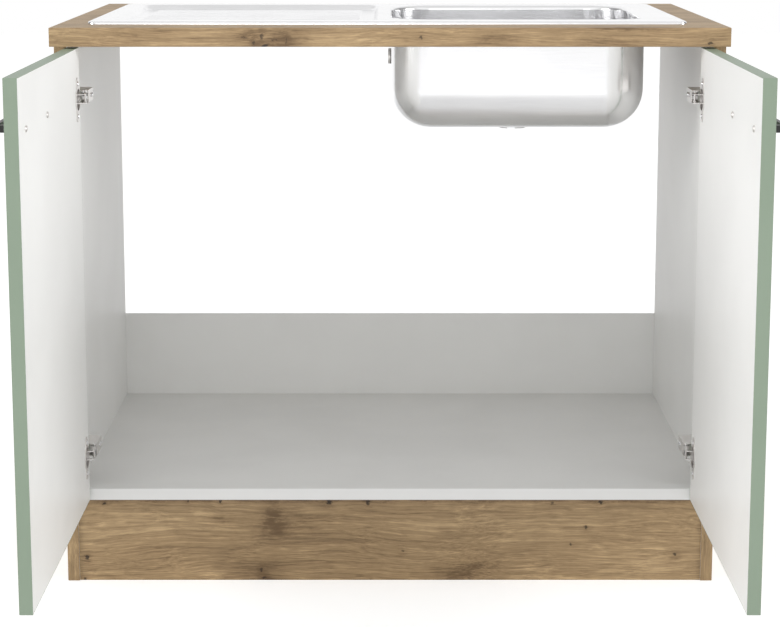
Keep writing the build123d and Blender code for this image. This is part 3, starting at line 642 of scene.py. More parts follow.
class KnotMark(Effect):
    """One knot, brown patch or band of painted shade in wood.

    The distance from the centre, divided by the reach along each axis, gives a bell, e to the minus its
    square. Round a dark knot the bell pulls the grain's coordinate towards the centre, so lines swell round
    it. The bell is also the halo, torn by noise: a brown ring round a knot, and painted shade where the mark
    is a long flat band. The core is where the distance falls under a third. A ragged offset bends its
    outline.
    """

    name = "knot"
    inputs = {
        "Vector": "Vector", "Ragged": "Vector", "Core": "Float", "Halo": "Float",
        "Centre": "Vector", "Reach": "Vector", "Dark": "Float", "Stain and shade": "Float",
    }
    outputs = {"Vector": "Vector", "Core": "Float", "Halo": "Float"}

    def draw(self, graph: Graph, given: Sockets) -> Sockets:
        """Bell, pull, core and torn halo."""
        away = graph.vector("SUBTRACT", given["Vector"], given["Centre"])
        share = graph.vector("DIVIDE", graph.vector("ADD", away, given["Ragged"]), given["Reach"])
        distance = graph.vector("LENGTH", share, out=1)
        square = graph.times(distance, distance)
        bell = graph.calc("POWER", math.e, graph.times(square, -1.0))
        pull = graph.vector("MULTIPLY", away, (0.0, 0.55, 0.55))
        pulled = graph.vector("MULTIPLY", pull, graph.times(bell, given["Dark"]))
        core = graph.times(graph.span(distance, 0.22, 0.46, 1.0, 0.0), given["Dark"])
        torn = graph.span(graph.streaks(given["Vector"], 26, 85, 4.0, 0.6), 0.3, 0.7, 0.3, 1.3)
        # The torn bell darkens the wood: a brown ring round a knot, and painted shade for a long flat band.
        stain_and_shade = graph.times(graph.times(bell, given["Stain and shade"]), torn)
        return {
            "Vector": graph.vector("SUBTRACT", given["Vector"], pulled),
            "Core": graph.calc("MAXIMUM", given["Core"], core),
            "Halo": graph.calc("ADD", given["Halo"], stain_and_shade),
        }


class WoodGrain(Effect):
    """Wood seen on a sawn face, with the grain along the vector's X.

    The coordinate wanders slowly, so that lines rise and fall. Bands, streaks and fibres are noise stretched
    along the grain, each finer than the last. Dashes are the sparse peaks of such a noise where the clouds
    are dark. Clouds shift the colour over hand-wide patches. Knots come in as core and halo, and the halo
    also brings the plinth's band of painted shade.
    """

    name = "wood grain"
    inputs = {
        "Vector": "Vector", "Core": "Float", "Halo": "Float",
        "Pale": "Color", "Middle": "Color", "Deep": "Color", "Knot": "Color",
    }
    outputs = {"Color": "Color", "Roughness": "Float", "Height": "Float"}

    def draw(self, graph: Graph, given: Sockets) -> Sockets:
        """Layers of noise added to one tone, which picks between three browns."""
        place = graph.wander(given["Vector"], (2.4, 5, 5), (0, 0.045, 0.045))
        place = graph.wander(place, (11, 40, 40), (0, 0.007, 0.007))
        bands = graph.streaks(place, 1, 24, 4.0, 0.6, 0.4)
        streaks = graph.streaks(place, 4, 210, 5.0, 0.7)
        fibres = graph.streaks(place, 16, 850, 3.0, 0.65)
        pores = graph.span(graph.streaks(place, 60, 1700, 1.0), 0.6, 0.7)
        clouds = graph.streaks(place, 4, 13, 3.0, 0.55, 0.4)
        dashes = graph.span(graph.streaks(place, 30, 330), 0.6, 0.74)
        dashes = graph.times(dashes, graph.span(clouds, 0.56, 0.42))
        tone = graph.times(bands, 0.42)
        # The halo darkens the tone: brown rings round knots, and the plinth's band of painted shade.
        layers = ((streaks, 0.55), (fibres, 0.4), (clouds, 0.34), (dashes, -0.16), (given["Halo"], -0.26))
        for layer, weight in layers:
            tone = graph.calc("MULTIPLY_ADD", layer, weight, tone)
        pale = graph.blend(graph.span(tone, 0.82, 1.06), given["Middle"], given["Pale"])
        wood = graph.blend(graph.span(tone, 0.44, 0.90), given["Deep"], pale)
        fine = graph.calc("MULTIPLY_ADD", fibres, 0.55, graph.calc("MULTIPLY_ADD", streaks, 0.65, 0.40))
        wood = graph.add("ShaderNodeVectorMath", {0: wood, "Scale": fine}, operation="SCALE").outputs[0]
        wood = graph.blend(graph.times(pores, 0.22), wood, given["Deep"], "MULTIPLY")
        return {
            "Color": graph.blend(given["Core"], wood, given["Knot"]),
            "Roughness": graph.calc("SUBTRACT", 0.6, graph.times(fibres, 0.16)),
            "Height": graph.calc("SUBTRACT", fibres, graph.times(pores, 0.8)),
        }


# ------------------------------------------------------------------ finishes


@dataclass(frozen=True)
class Finish:
    """What a piece is made of. The slot is the record's material slot."""

    slot: str

    def material(self) -> bpy.types.Material:
        """The finish's material, made at its first use.

        Returns:
            The same material at each call.
        """
        label = self.label()
        if label not in bpy.data.materials:
            made = bpy.data.materials.new(label)
            made.use_nodes = True
            graph = Graph(made.node_tree)
            shader = graph.add("ShaderNodeBsdfPrincipled")
            graph.add("ShaderNodeOutputMaterial", {"Surface": shader.outputs[0]})
            place = graph.add("ShaderNodeTexCoord").outputs["Object"]
            self.draw(graph, shader, place)
        return bpy.data.materials[label]

    def label(self) -> str:
        """The material's name, which differs from the plain material that the frame brings for the slot."""
        return self.slot + "_finish"

    def draw(self, graph: Graph, shader: bpy.types.Node, place: Socket) -> None:
        """Add the finish's own nodes in front of the shader.

        Args:
            graph: The material's graph.
            shader: Its main shader.
            place: The coordinate on the object.
        """
        raise NotImplementedError

    @staticmethod
    def join(graph: Graph, shader: bpy.types.Node, **sources: object) -> None:
        """Join sources to the shader's sockets, and a height to its normal through a bump.

        Args:
            graph: The material's graph.
            shader: Its main shader.
            sources: A value or a socket for each input, with underscores for spaces in the input's name. A
                height is a socket with the bump's strength and its distance in metres.
        """
        height = sources.pop("height", None)
        if height is not None:
            socket, strength, distance = height
            bump = graph.add("ShaderNodeBump", {"Height": socket, "Strength": strength, "Distance": distance})
            graph.tree.links.new(bump.outputs[0], shader.inputs["Normal"])
        for name, value in sources.items():
            target = shader.inputs[name.replace("_", " ")]
            if isinstance(value, Socket):
                graph.tree.links.new(value, target)
            else:
                target.default_value = value


class Grain(Enum):
    """Which way the grain runs. The value turns that way onto X."""

    ALONG_X = (0.0, 0.0, 0.0)
    UPRIGHT = (0.0, math.pi / 2, 0.0)


@dataclass(frozen=True)
class Knot:
    """A knot, brown patch or band of painted shade: centre and reach in metres on turned coordinates, and
    darkness.
    """

    centre: Point
    reach: Point
    dark: float
    stain_and_shade: float


def knots_on(y: float, *rows: tuple[float, ...]) -> tuple[Knot, ...]:
    """Knots on a face that looks to the front.

    Args:
        y: Where the face lies.
        rows: X and Z of each knot's centre, its reach along X, Y and Z, how dark its core is, and how dark
            its brown patch or painted shade is.

    Returns:
        The knots in the same order.
    """
    return tuple(Knot((row[0], y, row[1]), row[2:5], *row[5:]) for row in rows)


@dataclass(frozen=True)
class Oak(Finish):
    """Oak-decor laminate with knots and brown patches, and on the plinth a band of painted shade."""

    board: str
    grain: Grain
    knots: tuple[Knot, ...]
    pale: Colour = srgb(194, 166, 126)
    middle: Colour = srgb(166, 139, 102)
    deep: Colour = srgb(112, 88, 59)
    knot: Colour = srgb(44, 33, 24)

    def label(self) -> str:
        """Slot and board."""
        return self.slot + "_" + self.board

    def draw(self, graph: Graph, shader: bpy.types.Node, place: Socket) -> None:
        """Knots, brown patches and any band of painted shade one after another, then the grain."""
        turned = graph.stretch(place, (1, 1, 1), self.grain.value)
        bent = graph.wander(turned, (190, 190, 260), (0.009, 0.009, 0.008))
        uneven = graph.vector("SUBTRACT", bent, turned)
        along, core, halo = turned, 0.0, 0.0
        for knot in self.knots:
            marks = {"Vector": along, "Ragged": uneven, "Core": core, "Halo": halo,
                     "Centre": knot.centre, "Reach": knot.reach, "Dark": knot.dark, "Stain and shade": knot.stain_and_shade}
            along, core, halo = graph.use(KnotMark(), marks)
        colours = {"Pale": self.pale, "Middle": self.middle, "Deep": self.deep, "Knot": self.knot}
        wood = graph.use(WoodGrain(), {"Vector": along, "Core": core, "Halo": halo} | colours)
        ragged = graph.noise(turned, 60.0, 3.0)
        colour = graph.blend(graph.span(ragged, 0.3, 0.7, 0.0, 0.12), wood["Color"], self.deep)
        self.join(graph, shader, Base_Color=colour, Roughness=wood["Roughness"],
                  height=(wood["Height"], 0.25, 0.0003))


@dataclass(frozen=True)
class Laminate(Finish):
    """Plain board face: melamine, foil or edging, with an orange-peel surface."""

    colour: Colour = srgb(243, 243, 241)
    shade: Colour = srgb(240, 240, 238)
    roughness: float = 0.42
    peel: float = 900.0
    use: str = ""
    spread: float = 0.07

    def label(self) -> str:
        """One material for each use of a slot."""
        return self.slot + self.use + "_finish"

    def draw(self, graph: Graph, shader: bpy.types.Node, place: Socket) -> None:
        """A faint cloud in the colour over an orange-peel height."""
        fine = Unevenness().over(graph, place, self.peel, self.roughness, self.spread)
        cloud = graph.noise(place, 6.0, 3.0)
        speck = graph.span(graph.noise(place, 2600.0, 1.0), 0.4, 0.75, 0.0, 0.35)
        colour = graph.blend(graph.span(cloud, 0.35, 0.65), self.colour, self.shade)
        colour = graph.blend(speck, colour, self.shade)
        self.join(graph, shader, Base_Color=colour, Roughness=fine["Roughness"],
                  height=(fine["Height"], 0.12, 0.0002))


@dataclass(frozen=True)
class Metal(Finish):
    """Sheet or turned metal with brushed lines along one axis."""

    colour: Colour
    roughness: float
    spread: float
    lines: float
    grain: Grain
    bump: float
    dullest: float = 0.93

    def draw(self, graph: Graph, shader: bpy.types.Node, place: Socket) -> None:
        """Brushed lines in the roughness, the height and faintly in the colour."""
        along = graph.stretch(place, (1, 1, 1), self.grain.value)
        drawn = Brushing().over(graph, along, self.lines, self.roughness, self.spread)
        dull = tuple(self.dullest * part for part in self.colour[:3]) + (1.0,)
        colour = graph.blend(graph.span(drawn["Tint"], 0.45, 0.75), dull, self.colour)
        self.join(graph, shader, Base_Color=colour, Metallic=1.0, Roughness=drawn["Roughness"],
                  height=(drawn["Height"], self.bump, 0.0001))


@dataclass(frozen=True)
class Moulded(Finish):
    """Plastic, rubber or a powder coat: one colour with a fine pitted surface."""

    colour: Colour
    roughness: float
    pitting: float
    bump: float = 0.25
    spread: float = 0.2
    lift: float = 1.35
    least: float = 0.004

    def draw(self, graph: Graph, shader: bpy.types.Node, place: Socket) -> None:
        """A fine pitted height with a colour that lifts on its peaks."""
        fine = Unevenness().over(graph, place, self.pitting, self.roughness, self.spread)
        lifted = tuple(min(1.0, self.lift * part + self.least) for part in self.colour[:3]) + (1.0,)
        colour = graph.blend(graph.span(fine["Height"], 0.35, 0.75), self.colour, lifted)
        self.join(graph, shader, Base_Color=colour, Roughness=fine["Roughness"],
                  height=(fine["Height"], self.bump, 0.0002))


@dataclass(frozen=True)
class Dowelwood(Finish):
    """Plain beech with its grain along one axis."""

    grain: Grain
    pale: Colour = srgb(214, 180, 138)
    deep: Colour = srgb(178, 138, 96)

    def draw(self, graph: Graph, shader: bpy.types.Node, place: Socket) -> None:
        """Fine flecks stretched along the grain."""
        along = graph.stretch(place, (40, 700, 700), self.grain.value)
        fleck = graph.noise(along, 1.0, 3.0, 0.6)
        colour = graph.blend(graph.span(fleck, 0.35, 0.7), self.pale, self.deep)
        self.join(graph, shader, Base_Color=colour, Roughness=0.6, height=(fleck, 0.2, 0.0002))


WORKTOP_KNOTS = knots_on(
    -0.053,
    (-0.213, 0.845, 0.013, 0.03, 0.003, 0.6, 0.6),
    (-0.200, 0.838, 0.005, 0.03, 0.011, 0.7, 0.6),
    (-0.188, 0.847, 0.006, 0.03, 0.014, 0.7, 0.7),
    (-0.183, 0.835, 0.014, 0.03, 0.006, 0.95, 0.8),
    (-0.170, 0.842, 0.014, 0.03, 0.003, 0.6, 0.6),
    (-0.152, 0.840, 0.004, 0.03, 0.014, 0.5, 0.5),
    (-0.188, 0.842, 0.042, 0.03, 0.018, 0.0, 1.3),
    (-0.148, 0.842, 0.030, 0.03, 0.020, 0.0, 0.8),
    (0.340, 0.859, 0.060, 0.03, 0.004, 0.0, 1.3),
    (0.045, 0.846, 0.007, 0.02, 0.006, 0.7, 0.5),
    (0.153, 0.845, 0.030, 0.03, 0.009, 0.0, 1.2),
    (0.470, 0.838, 0.008, 0.02, 0.006, 0.8, 0.4),
    (-0.38, 0.85, 0.05, 0.05, 0.012, 0.0, 0.8),
    (0.33, 0.84, 0.06, 0.05, 0.010, 0.0, 0.7),
) + (
    Knot((-0.47, 0.20, 0.86), (0.02, 0.010, 0.02), 0.7, 0.7),
    Knot((0.47, 0.38, 0.86), (0.02, 0.008, 0.02), 0.7, 0.7),
)
# The plinth's knots and brown patches, and last a band of painted shade along its top edge.
PLINTH_KNOTS_AND_TOP_SHADE = knots_on(
    -0.009,
    (-0.442, 0.124, 0.005, 0.02, 0.005, 0.9, 0.6),
    (-0.470, 0.036, 0.008, 0.02, 0.010, 0.85, 1.0),
    (-0.474, 0.003, 0.006, 0.02, 0.006, 0.8, 0.6),
    (-0.312, 0.128, 0.005, 0.02, 0.005, 0.8, 0.4),
    (-0.262, 0.127, 0.006, 0.02, 0.009, 0.9, 0.4),
    (-0.094, 0.126, 0.013, 0.02, 0.011, 1.0, 0.8),
    (-0.034, 0.125, 0.006, 0.02, 0.010, 0.9, 0.4),
    (-0.182, 0.094, 0.016, 0.03, 0.024, 0.0, 1.9),
    (-0.150, 0.092, 0.060, 0.03, 0.022, 0.0, 1.2),
    (-0.262, 0.098, 0.030, 0.03, 0.008, 0.0, 1.1),
    (-0.200, 0.016, 0.007, 0.02, 0.007, 0.8, 0.7),
    (-0.196, 0.004, 0.010, 0.02, 0.007, 0.9, 0.7),
    (-0.206, 0.012, 0.045, 0.03, 0.020, 0.0, 0.9),
    (0.020, 0.046, 0.007, 0.02, 0.006, 0.7, 0.5),
    (0.118, 0.015, 0.050, 0.03, 0.016, 0.0, 1.5),
    (0.252, 0.124, 0.006, 0.02, 0.006, 0.7, 0.4),
    (0.325, 0.126, 0.010, 0.02, 0.009, 1.0, 0.6),
    (0.304, 0.085, 0.007, 0.02, 0.007, 0.8, 0.6),
    (0.280, 0.058, 0.006, 0.02, 0.006, 0.7, 0.5),
    (0.442, 0.041, 0.009, 0.02, 0.008, 0.8, 0.7),
    # Not a knot: a band the plinth's whole width along its top edge, painted shade under the shelf's front
    # edge.
    (0.0, 0.131, 2.0, 0.05, 0.006, 0.0, 1.2),
)
SIDE_KNOTS = (
    Knot((0.62, 0.15, 0.49), (0.03, 0.012, 0.03), 0.8, 0.8),
    Knot((0.31, 0.41, 0.49), (0.022, 0.010, 0.03), 0.9, 0.8),
    Knot((0.18, 0.10, -0.49), (0.03, 0.010, 0.03), 0.8, 0.8),
    Knot((0.55, 0.33, -0.49), (0.02, 0.010, 0.03), 0.9, 0.8),
)

WORKTOP_OAK = Oak("oak_board", "worktop", Grain.ALONG_X, WORKTOP_KNOTS)
PLINTH_OAK = Oak("oak_board", "plinth", Grain.ALONG_X, PLINTH_KNOTS_AND_TOP_SHADE)
SIDE_OAK = Oak("oak_board", "side", Grain.UPRIGHT, SIDE_KNOTS)
WHITE_BOARD = Laminate("white_board")
# The same white board as the others, written darker: painted shade on the shelf inside the cabinet, under the
# worktop.
WHITE_SHELF_PAINTED_SHADE = Laminate("white_board", srgb(234, 234, 232), srgb(230, 230, 228), use="_shelf")
WHITE_EDGE = Laminate("white_edge", srgb(247, 247, 246), srgb(244, 244, 243), 0.34, 700.0)
SAGE = Laminate("sage_face", srgb(143, 159, 140), srgb(140, 156, 137), 0.46, 800.0)
BLACK = Moulded("black_handle", srgb(26, 26, 27), 0.42, 2000.0)
STEEL = Metal("sink_steel", srgb(249, 249, 250), 0.19, 0.1, 900.0, Grain.ALONG_X, 0.04)
NICKEL = Metal("nickel", srgb(224, 221, 218), 0.36, 0.12, 2400.0, Grain.UPRIGHT, 0.05)
ZINC = Metal("zinc", srgb(188, 190, 192), 0.38, 0.2, 2600.0, Grain.ALONG_X, 0.1)
POLISHED = Metal("polished_steel", srgb(232, 232, 234), 0.09, 0.05, 1600.0, Grain.ALONG_X, 0.02)
RUBBER = Moulded("rubber", srgb(34, 34, 34), 0.7, 900.0)
PALE_PLASTIC = Moulded("pale_plastic", srgb(196, 196, 192), 0.5, 1200.0, 0.15)
BEECH = Dowelwood("beech", Grain.ALONG_X)


# ------------------------------------------------------------------ screws


@dataclass(frozen=True)
class PanHead:
    """A pan-head screw with a cross recess: sizes in mm, then shares of the head's radius or height."""

    shank: float
    length: float
    head: float
    height: float
    rim: float = 0.35
    recess: float = 0.62
    arm_half: float = 0.15
    arm_reach: float = 0.62
    arm_side: float = 0.06
    arm_end: float = 0.12
    tip: float = 0.25

    def add_to(self, shell: Shell, seat: Point, facing: Facing) -> None:
        """Add one screw, its head resting on the seat.

        The head's height over a point is a dome, which falls from its middle to its rim with the fourth
        power of the share of its radius, less the recess. The recess is deep where the point lies within the
        arm's half width of either cross axis and within its reach, with a slope at both limits.

        Args:
            shell: Where the screw goes.
            seat: Middle of the head's flat side.
            facing: Which way the head looks.
        """
        reach = np.concatenate([np.linspace(0.04, 0.9, 15), [0.96, 1.0]])[::-1]
        angle = np.radians(np.arange(0, 360, 5.0))
        x, y = reach[:, None] * np.cos(angle), reach[:, None] * np.sin(angle)
        across = np.minimum(np.abs(x), np.abs(y))
        along = np.maximum(np.abs(x), np.abs(y))
        arm = np.clip((self.arm_half - across) / self.arm_side, 0, 1)
        arm = arm * np.clip((self.arm_reach - along) / self.arm_end, 0, 1)
        dome = self.rim + (1 - self.rim) * (1 - reach[:, None] ** 4) * np.ones_like(x)
        level = self.height * (dome - self.recess * arm)
        cap = np.stack([self.head * x, self.head * y, level], axis=2)
        rim = cap[0] * np.array([1.0, 1.0, 0.0])
        neck = rim * (self.shank / self.head)
        tip = neck * self.tip - np.array([0, 0, self.length])
        sleeve = neck - np.array([0, 0, self.length - 2 * self.shank])
        rings = np.concatenate([tip[None], sleeve[None], neck[None], rim[None], cap])
        shell.closed(rings, facing, seat)


# ------------------------------------------------------------------ the unit's parts


@dataclass
class Carcass:
    """Sides, shelf, plinth, back strip and what joins them."""

    half_width: float = 500.0
    board: float = 18.0
    front: float = -12.0
    banding: float = 1.0
    underside: float = 832.0
    shelf_low: float = 130.0
    shelf_high: float = 148.0
    softness: float = 0.45
    sideways_from: float = 0.9

    def build(self) -> None:
        """Dress the boards and lay soft-edged bands on their front edges."""
        self.dress_boards()
        outer, inner = -self.half_width, self.board - self.half_width
        for side in Side:
            self.band("side_edge_band" + side.ending, SIDE_OAK, (outer, inner), (0.0, self.underside), side)
        self.band("shelf_edge_band", WHITE_EDGE, (inner, -inner), (self.shelf_low, self.shelf_high))

    def dress_boards(self) -> None:
        """Finishes of the boards and their fasteners; the sides are white inside and oak outside."""
        dress(PLINTH_OAK, "plinth")
        # The shelf's darker white is painted shade.
        dress(WHITE_SHELF_PAINTED_SHADE, "bottom_shelf")
        dress(WHITE_BOARD, "back_strip")
        for node in pair("side_panel"):
            self.two_faced(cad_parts[node])
        dress(ZINC, "connector_bolts", "cam_locks", "strip_screws", "bracket_screws")
        dress(BEECH, "dowels")
        ease("worktop_brackets", ZINC, "cabinet", 0.25)

    def two_faced(self, panel: bpy.types.Object) -> None:
        """Give a side panel its white and its oak finish.

        A face is oak where its middle lies beyond the middle of the board and its normal points sideways.

        Args:
            panel: The panel's object.
        """
        panel.data.materials.clear()
        panel.data.materials.append(WHITE_BOARD.material())
        panel.data.materials.append(SIDE_OAK.material())
        faces = panel.data.polygons
        middle = (self.half_width - self.board / 2) * MM
        outside = np.abs(read_vectors(faces, "center")[:, 0]) > middle
        sideways = np.abs(read_vectors(faces, "normal")[:, 0]) > self.sideways_from
        faces.foreach_set("material_index", (outside & sideways).astype(np.int32))

    def band(self, node: str, finish: Finish, across: tuple[float, float], up: tuple[float, float],
             side: Side = Side.LEFT) -> None:
        """Soft-edged band on a board's front edge.

        Args:
            node: The band's node.
            finish: What it is made of.
            across: Where it starts and ends in X, for the left hand.
            up: Where it starts and ends in Z.
            side: Which hand it is for.
        """
        middle = (sum(across) / 2, sum(up) / 2)
        outline = partial(rounded_rectangle, across[1] - across[0], up[1] - up[0], self.softness, middle, 3)
        shell = Shell()
        shell.closed(pillow(outline, -self.front - self.banding, -self.front, self.softness, HIDDEN),
                     Facing.FRONT)
        shell.handed(side).piece(node, "soft", finish, "cabinet")


@dataclass
class Worktop:
    """The oak-decor worktop and its band round the front and both ends."""

    half_width: float = 500.0
    front: float = -53.0
    back: float = 582.0
    low: float = 832.0
    high: float = 860.0
    banding: float = 1.0
    softness: float = 0.8

    def build(self) -> None:
        """Dress the board and carry the band's profile round three edges."""
        dress(WORKTOP_OAK, "worktop")
        shell = Shell()
        x = self.half_width
        path = np.array([[-x, self.back], [-x, self.front], [x, self.front], [x, self.back]])
        thick, soft = self.banding, self.softness
        turn = quarter(3)
        lower = np.stack([-soft * (1 - np.sin(turn)), self.low + soft * (1 - np.cos(turn))], axis=1)
        upper = np.stack([-soft * (1 - np.cos(turn)), self.high - soft * (1 - np.sin(turn))], axis=1)
        guards = [[0, self.low + soft + GUARD], [0, self.high - soft - GUARD]]
        profile = np.vstack([lower, guards, upper, [[-thick, self.high], [-thick, self.low]]])
        shell.closed(carried(path, profile)[:, ::-1])
        shell.piece("worktop_edge_band", "soft", WORKTOP_OAK, "cabinet")


@dataclass
class Sink:
    """The pressed sink: rim, draining tray with ribs, and the bowl under it."""

    left: float = -454.0
    right: float = 446.0
    front: float = 13.0
    back: float = 493.0
    rim_corner: float = 14.0
    rim_round: float = 3.0
    foot: float = 860.0
    top: float = 865.0
    sheet: float = 1.0
    tray_left: float = -424.0
    tray_right: float = -17.0
    tray_front: float = 43.0
    tray_back: float = 463.0
    tray_corner: float = 26.0
    tray_depth: float = 8.0
    tray_slope: float = 10.0
    tray_inset: float = 0.4
    tray_margin: float = 0.3
    ribs: int = 9
    rib_half: float = 6.0
    rib_height: float = 1.5
    rib_margin: float = 34.0
    bowl_left: float = 3.0
    bowl_right: float = 394.0
    bowl_front: float = 67.0
    bowl_back: float = 439.0
    bowl_corner: float = 64.0
    bowl_floor: float = 694.0
    floor_round: float = 60.0
    lip: float = 7.0
    waste_hole: float = 24.5
    floor_rows: tuple[float, ...] = (0.01, 0.35, 0.7, 0.999, 1.0)

    @property
    def bowl_middle(self) -> tuple[float, float]:
        """Middle of the bowl in plan."""
        return (self.bowl_left + self.bowl_right) / 2, (self.bowl_front + self.bowl_back) / 2

    def bowl_ring(self, grow: float) -> np.ndarray:
        """The bowl's outline in plan, grown outward."""
        width, length = self.bowl_right - self.bowl_left, self.bowl_back - self.bowl_front
        return rounded_rectangle(width, length, self.bowl_corner, self.bowl_middle, 16, grow)

    def tray_ring(self, grow: float) -> np.ndarray:
        """The draining tray's outline in plan.

        Args:
            grow: How far it moves outward.

        Returns:
            Points in anticlockwise order.
        """
        width, length = self.tray_right - self.tray_left, self.tray_back - self.tray_front
        middle = ((self.tray_left + self.tray_right) / 2, (self.tray_front + self.tray_back) / 2)
        return rounded_rectangle(width, length, self.tray_corner, middle, 10, grow)

    def build(self) -> None:
        """Build both pieces and dress what holds and seals them."""
        self.deck()
        self.bowl()
        dress(RUBBER, "sink_seal")
        ease("sink_clips", ZINC, "cabinet", 0.2)
        dress(ZINC, "clip_screws")

    def deck(self) -> None:
        """Rim, flat, tray and the bowl's mouth as one sheet."""
        shell = Shell()
        rim = self.rim(shell)
        tray_edge, tray_floor = self.tray(shell)
        mouth = self.mouth(shell)
        ribs = [self.rib(shell, number) for number in range(self.ribs)]
        shell.flat(rim, tray_edge, mouth)
        shell.flat(tray_floor, *ribs)
        shell.piece("sink_deck", "pressed", STEEL, "cabinet", self.sheet)

    def rim(self, shell: Shell) -> np.ndarray:
        """Skirt and quarter round at the rim, from the foot up and in.

        Args:
            shell: Where the surface goes.

        Returns:
            The ring that meets the flat.
        """
        outline = partial(rounded_rectangle, self.right - self.left, self.back - self.front, self.rim_corner,
                          ((self.left + self.right) / 2, (self.front + self.back) / 2), 8)
        turn = quarter(6)
        reach = self.rim_round
        inward = np.concatenate([[0.0, 0.0], reach * (1 - np.cos(turn)), [reach + 2 * GUARD]])
        foot = [self.foot, self.foot + GUARD]
        level = np.concatenate([foot, self.top - reach * (1 - np.sin(turn)), [self.top]])
        return shell.skin(grown(outline, -inward, level))[-1]

    def tray(self, shell: Shell) -> tuple[np.ndarray, np.ndarray]:
        """Tray wall from its floor up to the flat: an S of two rounds joined by a slope.

        Between floor and flat the share of the height follows a smooth step of the share of the run, three
        times its square less twice its cube.

        Args:
            shell: Where the surface goes.

        Returns:
            The ring at the flat and the ring at the floor.
        """
        share = np.linspace(0, 1, 13)
        step = share * share * (3 - 2 * share)
        grow = -self.tray_slope * (1 - share)
        grow = np.concatenate([[grow[0] - self.tray_inset], grow, [self.tray_margin]])
        level = self.top - self.tray_depth + self.tray_depth * np.concatenate([[0], step, [1]])
        index = shell.skin(grown(self.tray_ring, grow, level)[:, ::-1])
        return index[-1], index[0]

    def rib(self, shell: Shell, number: int) -> np.ndarray:
        """One pressed rib, whose height is the squared cosine of the share of its half width.

        Args:
            shell: Where the surface goes.
            number: The rib's number from the front, from 0.

        Returns:
            The ring at its foot.
        """
        pitch = (self.tray_back - self.tray_front - 2 * self.tray_slope) / (self.ribs + 1)
        y = (self.tray_front + self.tray_back) / 2 + (number - (self.ribs - 1) / 2) * pitch
        start, end = self.tray_left + self.rib_margin, self.tray_right - self.rib_margin
        share = np.concatenate([[1.05], np.linspace(1, 0.04, 9)])
        height = np.cos(np.minimum(share, 1) * math.pi / 2) ** 2
        outlines = [np.vstack([arc((end, y), reach, -90, 90, 8), arc((start, y), reach, 90, 270, 8)])
                    for reach in share * self.rib_half]
        level = self.top - self.tray_depth + height * self.rib_height
        return shell.skin(stacked(outlines, level), high=True)[0]

    def mouth(self, shell: Shell) -> np.ndarray:
        """The bowl's rolled lip, a quarter round down to where the bowl is welded on.

        Args:
            shell: Where the surface goes.

        Returns:
            The ring at the flat.
        """
        turn = np.concatenate([[0.0, GUARD / self.lip], np.radians(np.linspace(11.25, 90, 8))])
        grow = np.concatenate([self.lip * (1 - np.cos(turn)), [self.lip + 2 * GUARD]])
        level = np.concatenate([self.top - self.lip * (1 - np.sin(turn)), [self.top]])
        return shell.skin(grown(self.bowl_ring, grow, level)[:, ::-1])[-1]

    def bowl(self) -> None:
        """Wall, rounded floor edge and floor, down to the waste hole.

        The floor's edge is a quarter round in section. Over the floor each point runs straight from that
        round to the point of the waste hole that lies in its own direction. Rows close to both open edges
        keep the shading flat.
        """
        turn = quarter(16)
        weld = self.top - self.lip
        knee = self.bowl_floor + self.floor_round
        grow = np.concatenate([[0.0, 0.0, 0.0], -self.floor_round * (1 - np.cos(turn))])
        level = np.concatenate([[weld, weld - GUARD, knee + GUARD], knee - self.floor_round * np.sin(turn)])
        outlines = [self.bowl_ring(amount) for amount in grow]
        edge = outlines[-1]
        middle = np.array(self.bowl_middle)
        away = edge - middle
        hole = middle + self.waste_hole * away / np.linalg.norm(away, axis=1, keepdims=True)
        outlines += [edge + share * (hole - edge) for share in self.floor_rows]
        level = np.concatenate([level, np.full(len(self.floor_rows), self.bowl_floor)])
        shell = Shell()
        shell.skin(stacked(outlines, level))
        shell.piece("sink_bowl", "pressed", STEEL, "cabinet", self.sheet)


@dataclass
class WasteOutlet:
    """Strainer waste in the bowl's floor, with its nut, gasket and plug."""

    middle: tuple[float, float] = (198.5, 253.0)
    plug_foot: float = 696.0
    cap: float = 27.0
    cap_height: float = 3.0
    rolled: float = 2.0
    neck: tuple[tuple[float, float], ...] = ((0.9, 0.0), (0.62, 0.8), (0.55, 4.0), (0.7, 6.0))
    knob: float = 6.0
    knob_top: float = 711.0
    knob_dome: float = 3.4
    stem: float = 17.0
    stem_foot: float = 687.0
    chamfer: float = 1.5
    edge: float = 1.0
    fine: float = 0.3

    def build(self) -> None:
        """Dress the outlet and turn the plug."""
        ease("waste_flange", POLISHED, "cabinet", 0.3)
        ease("waste_nut", PALE_PLASTIC, "cabinet", 0.5)
        dress(RUBBER, "waste_gasket", "plug_seal")
        self.plug()

    def plug(self) -> None:
        """Plug turned from one profile: stem, cap with a rolled edge, waisted knob with a domed head.

        The neck gives shares of the knob's radius and heights over the cap.
        """
        foot = self.plug_foot
        top = foot + self.cap_height
        stem, low = self.stem, self.stem_foot
        edge, fine = self.edge, self.fine
        profile = [(stem - self.chamfer, low), (stem, low + edge), (stem, foot)]
        profile += [(self.cap - edge, foot), (self.cap - fine, foot + fine), (self.cap, foot + edge)]
        turn = quarter(5)
        rolled = self.rolled
        cap, shoulder = self.cap - rolled, top - rolled
        profile += [(cap + rolled * math.cos(a), shoulder + rolled * math.sin(a)) for a in turn]
        profile += [(self.cap - 2 * rolled, top)]
        profile += [(self.knob * share, top + rise) for share, rise in self.neck]
        dome = self.knob_dome
        head = self.knob_top - dome
        turn = np.radians(np.linspace(-35, 88, 12))
        profile += [(self.knob * math.cos(a), head + dome * math.sin(a)) for a in turn]
        shell = Shell()
        shell.closed(revolved(profile), Facing.UP, (*self.middle, 0.0))
        shell.piece("plug", "turned", POLISHED, "plug")


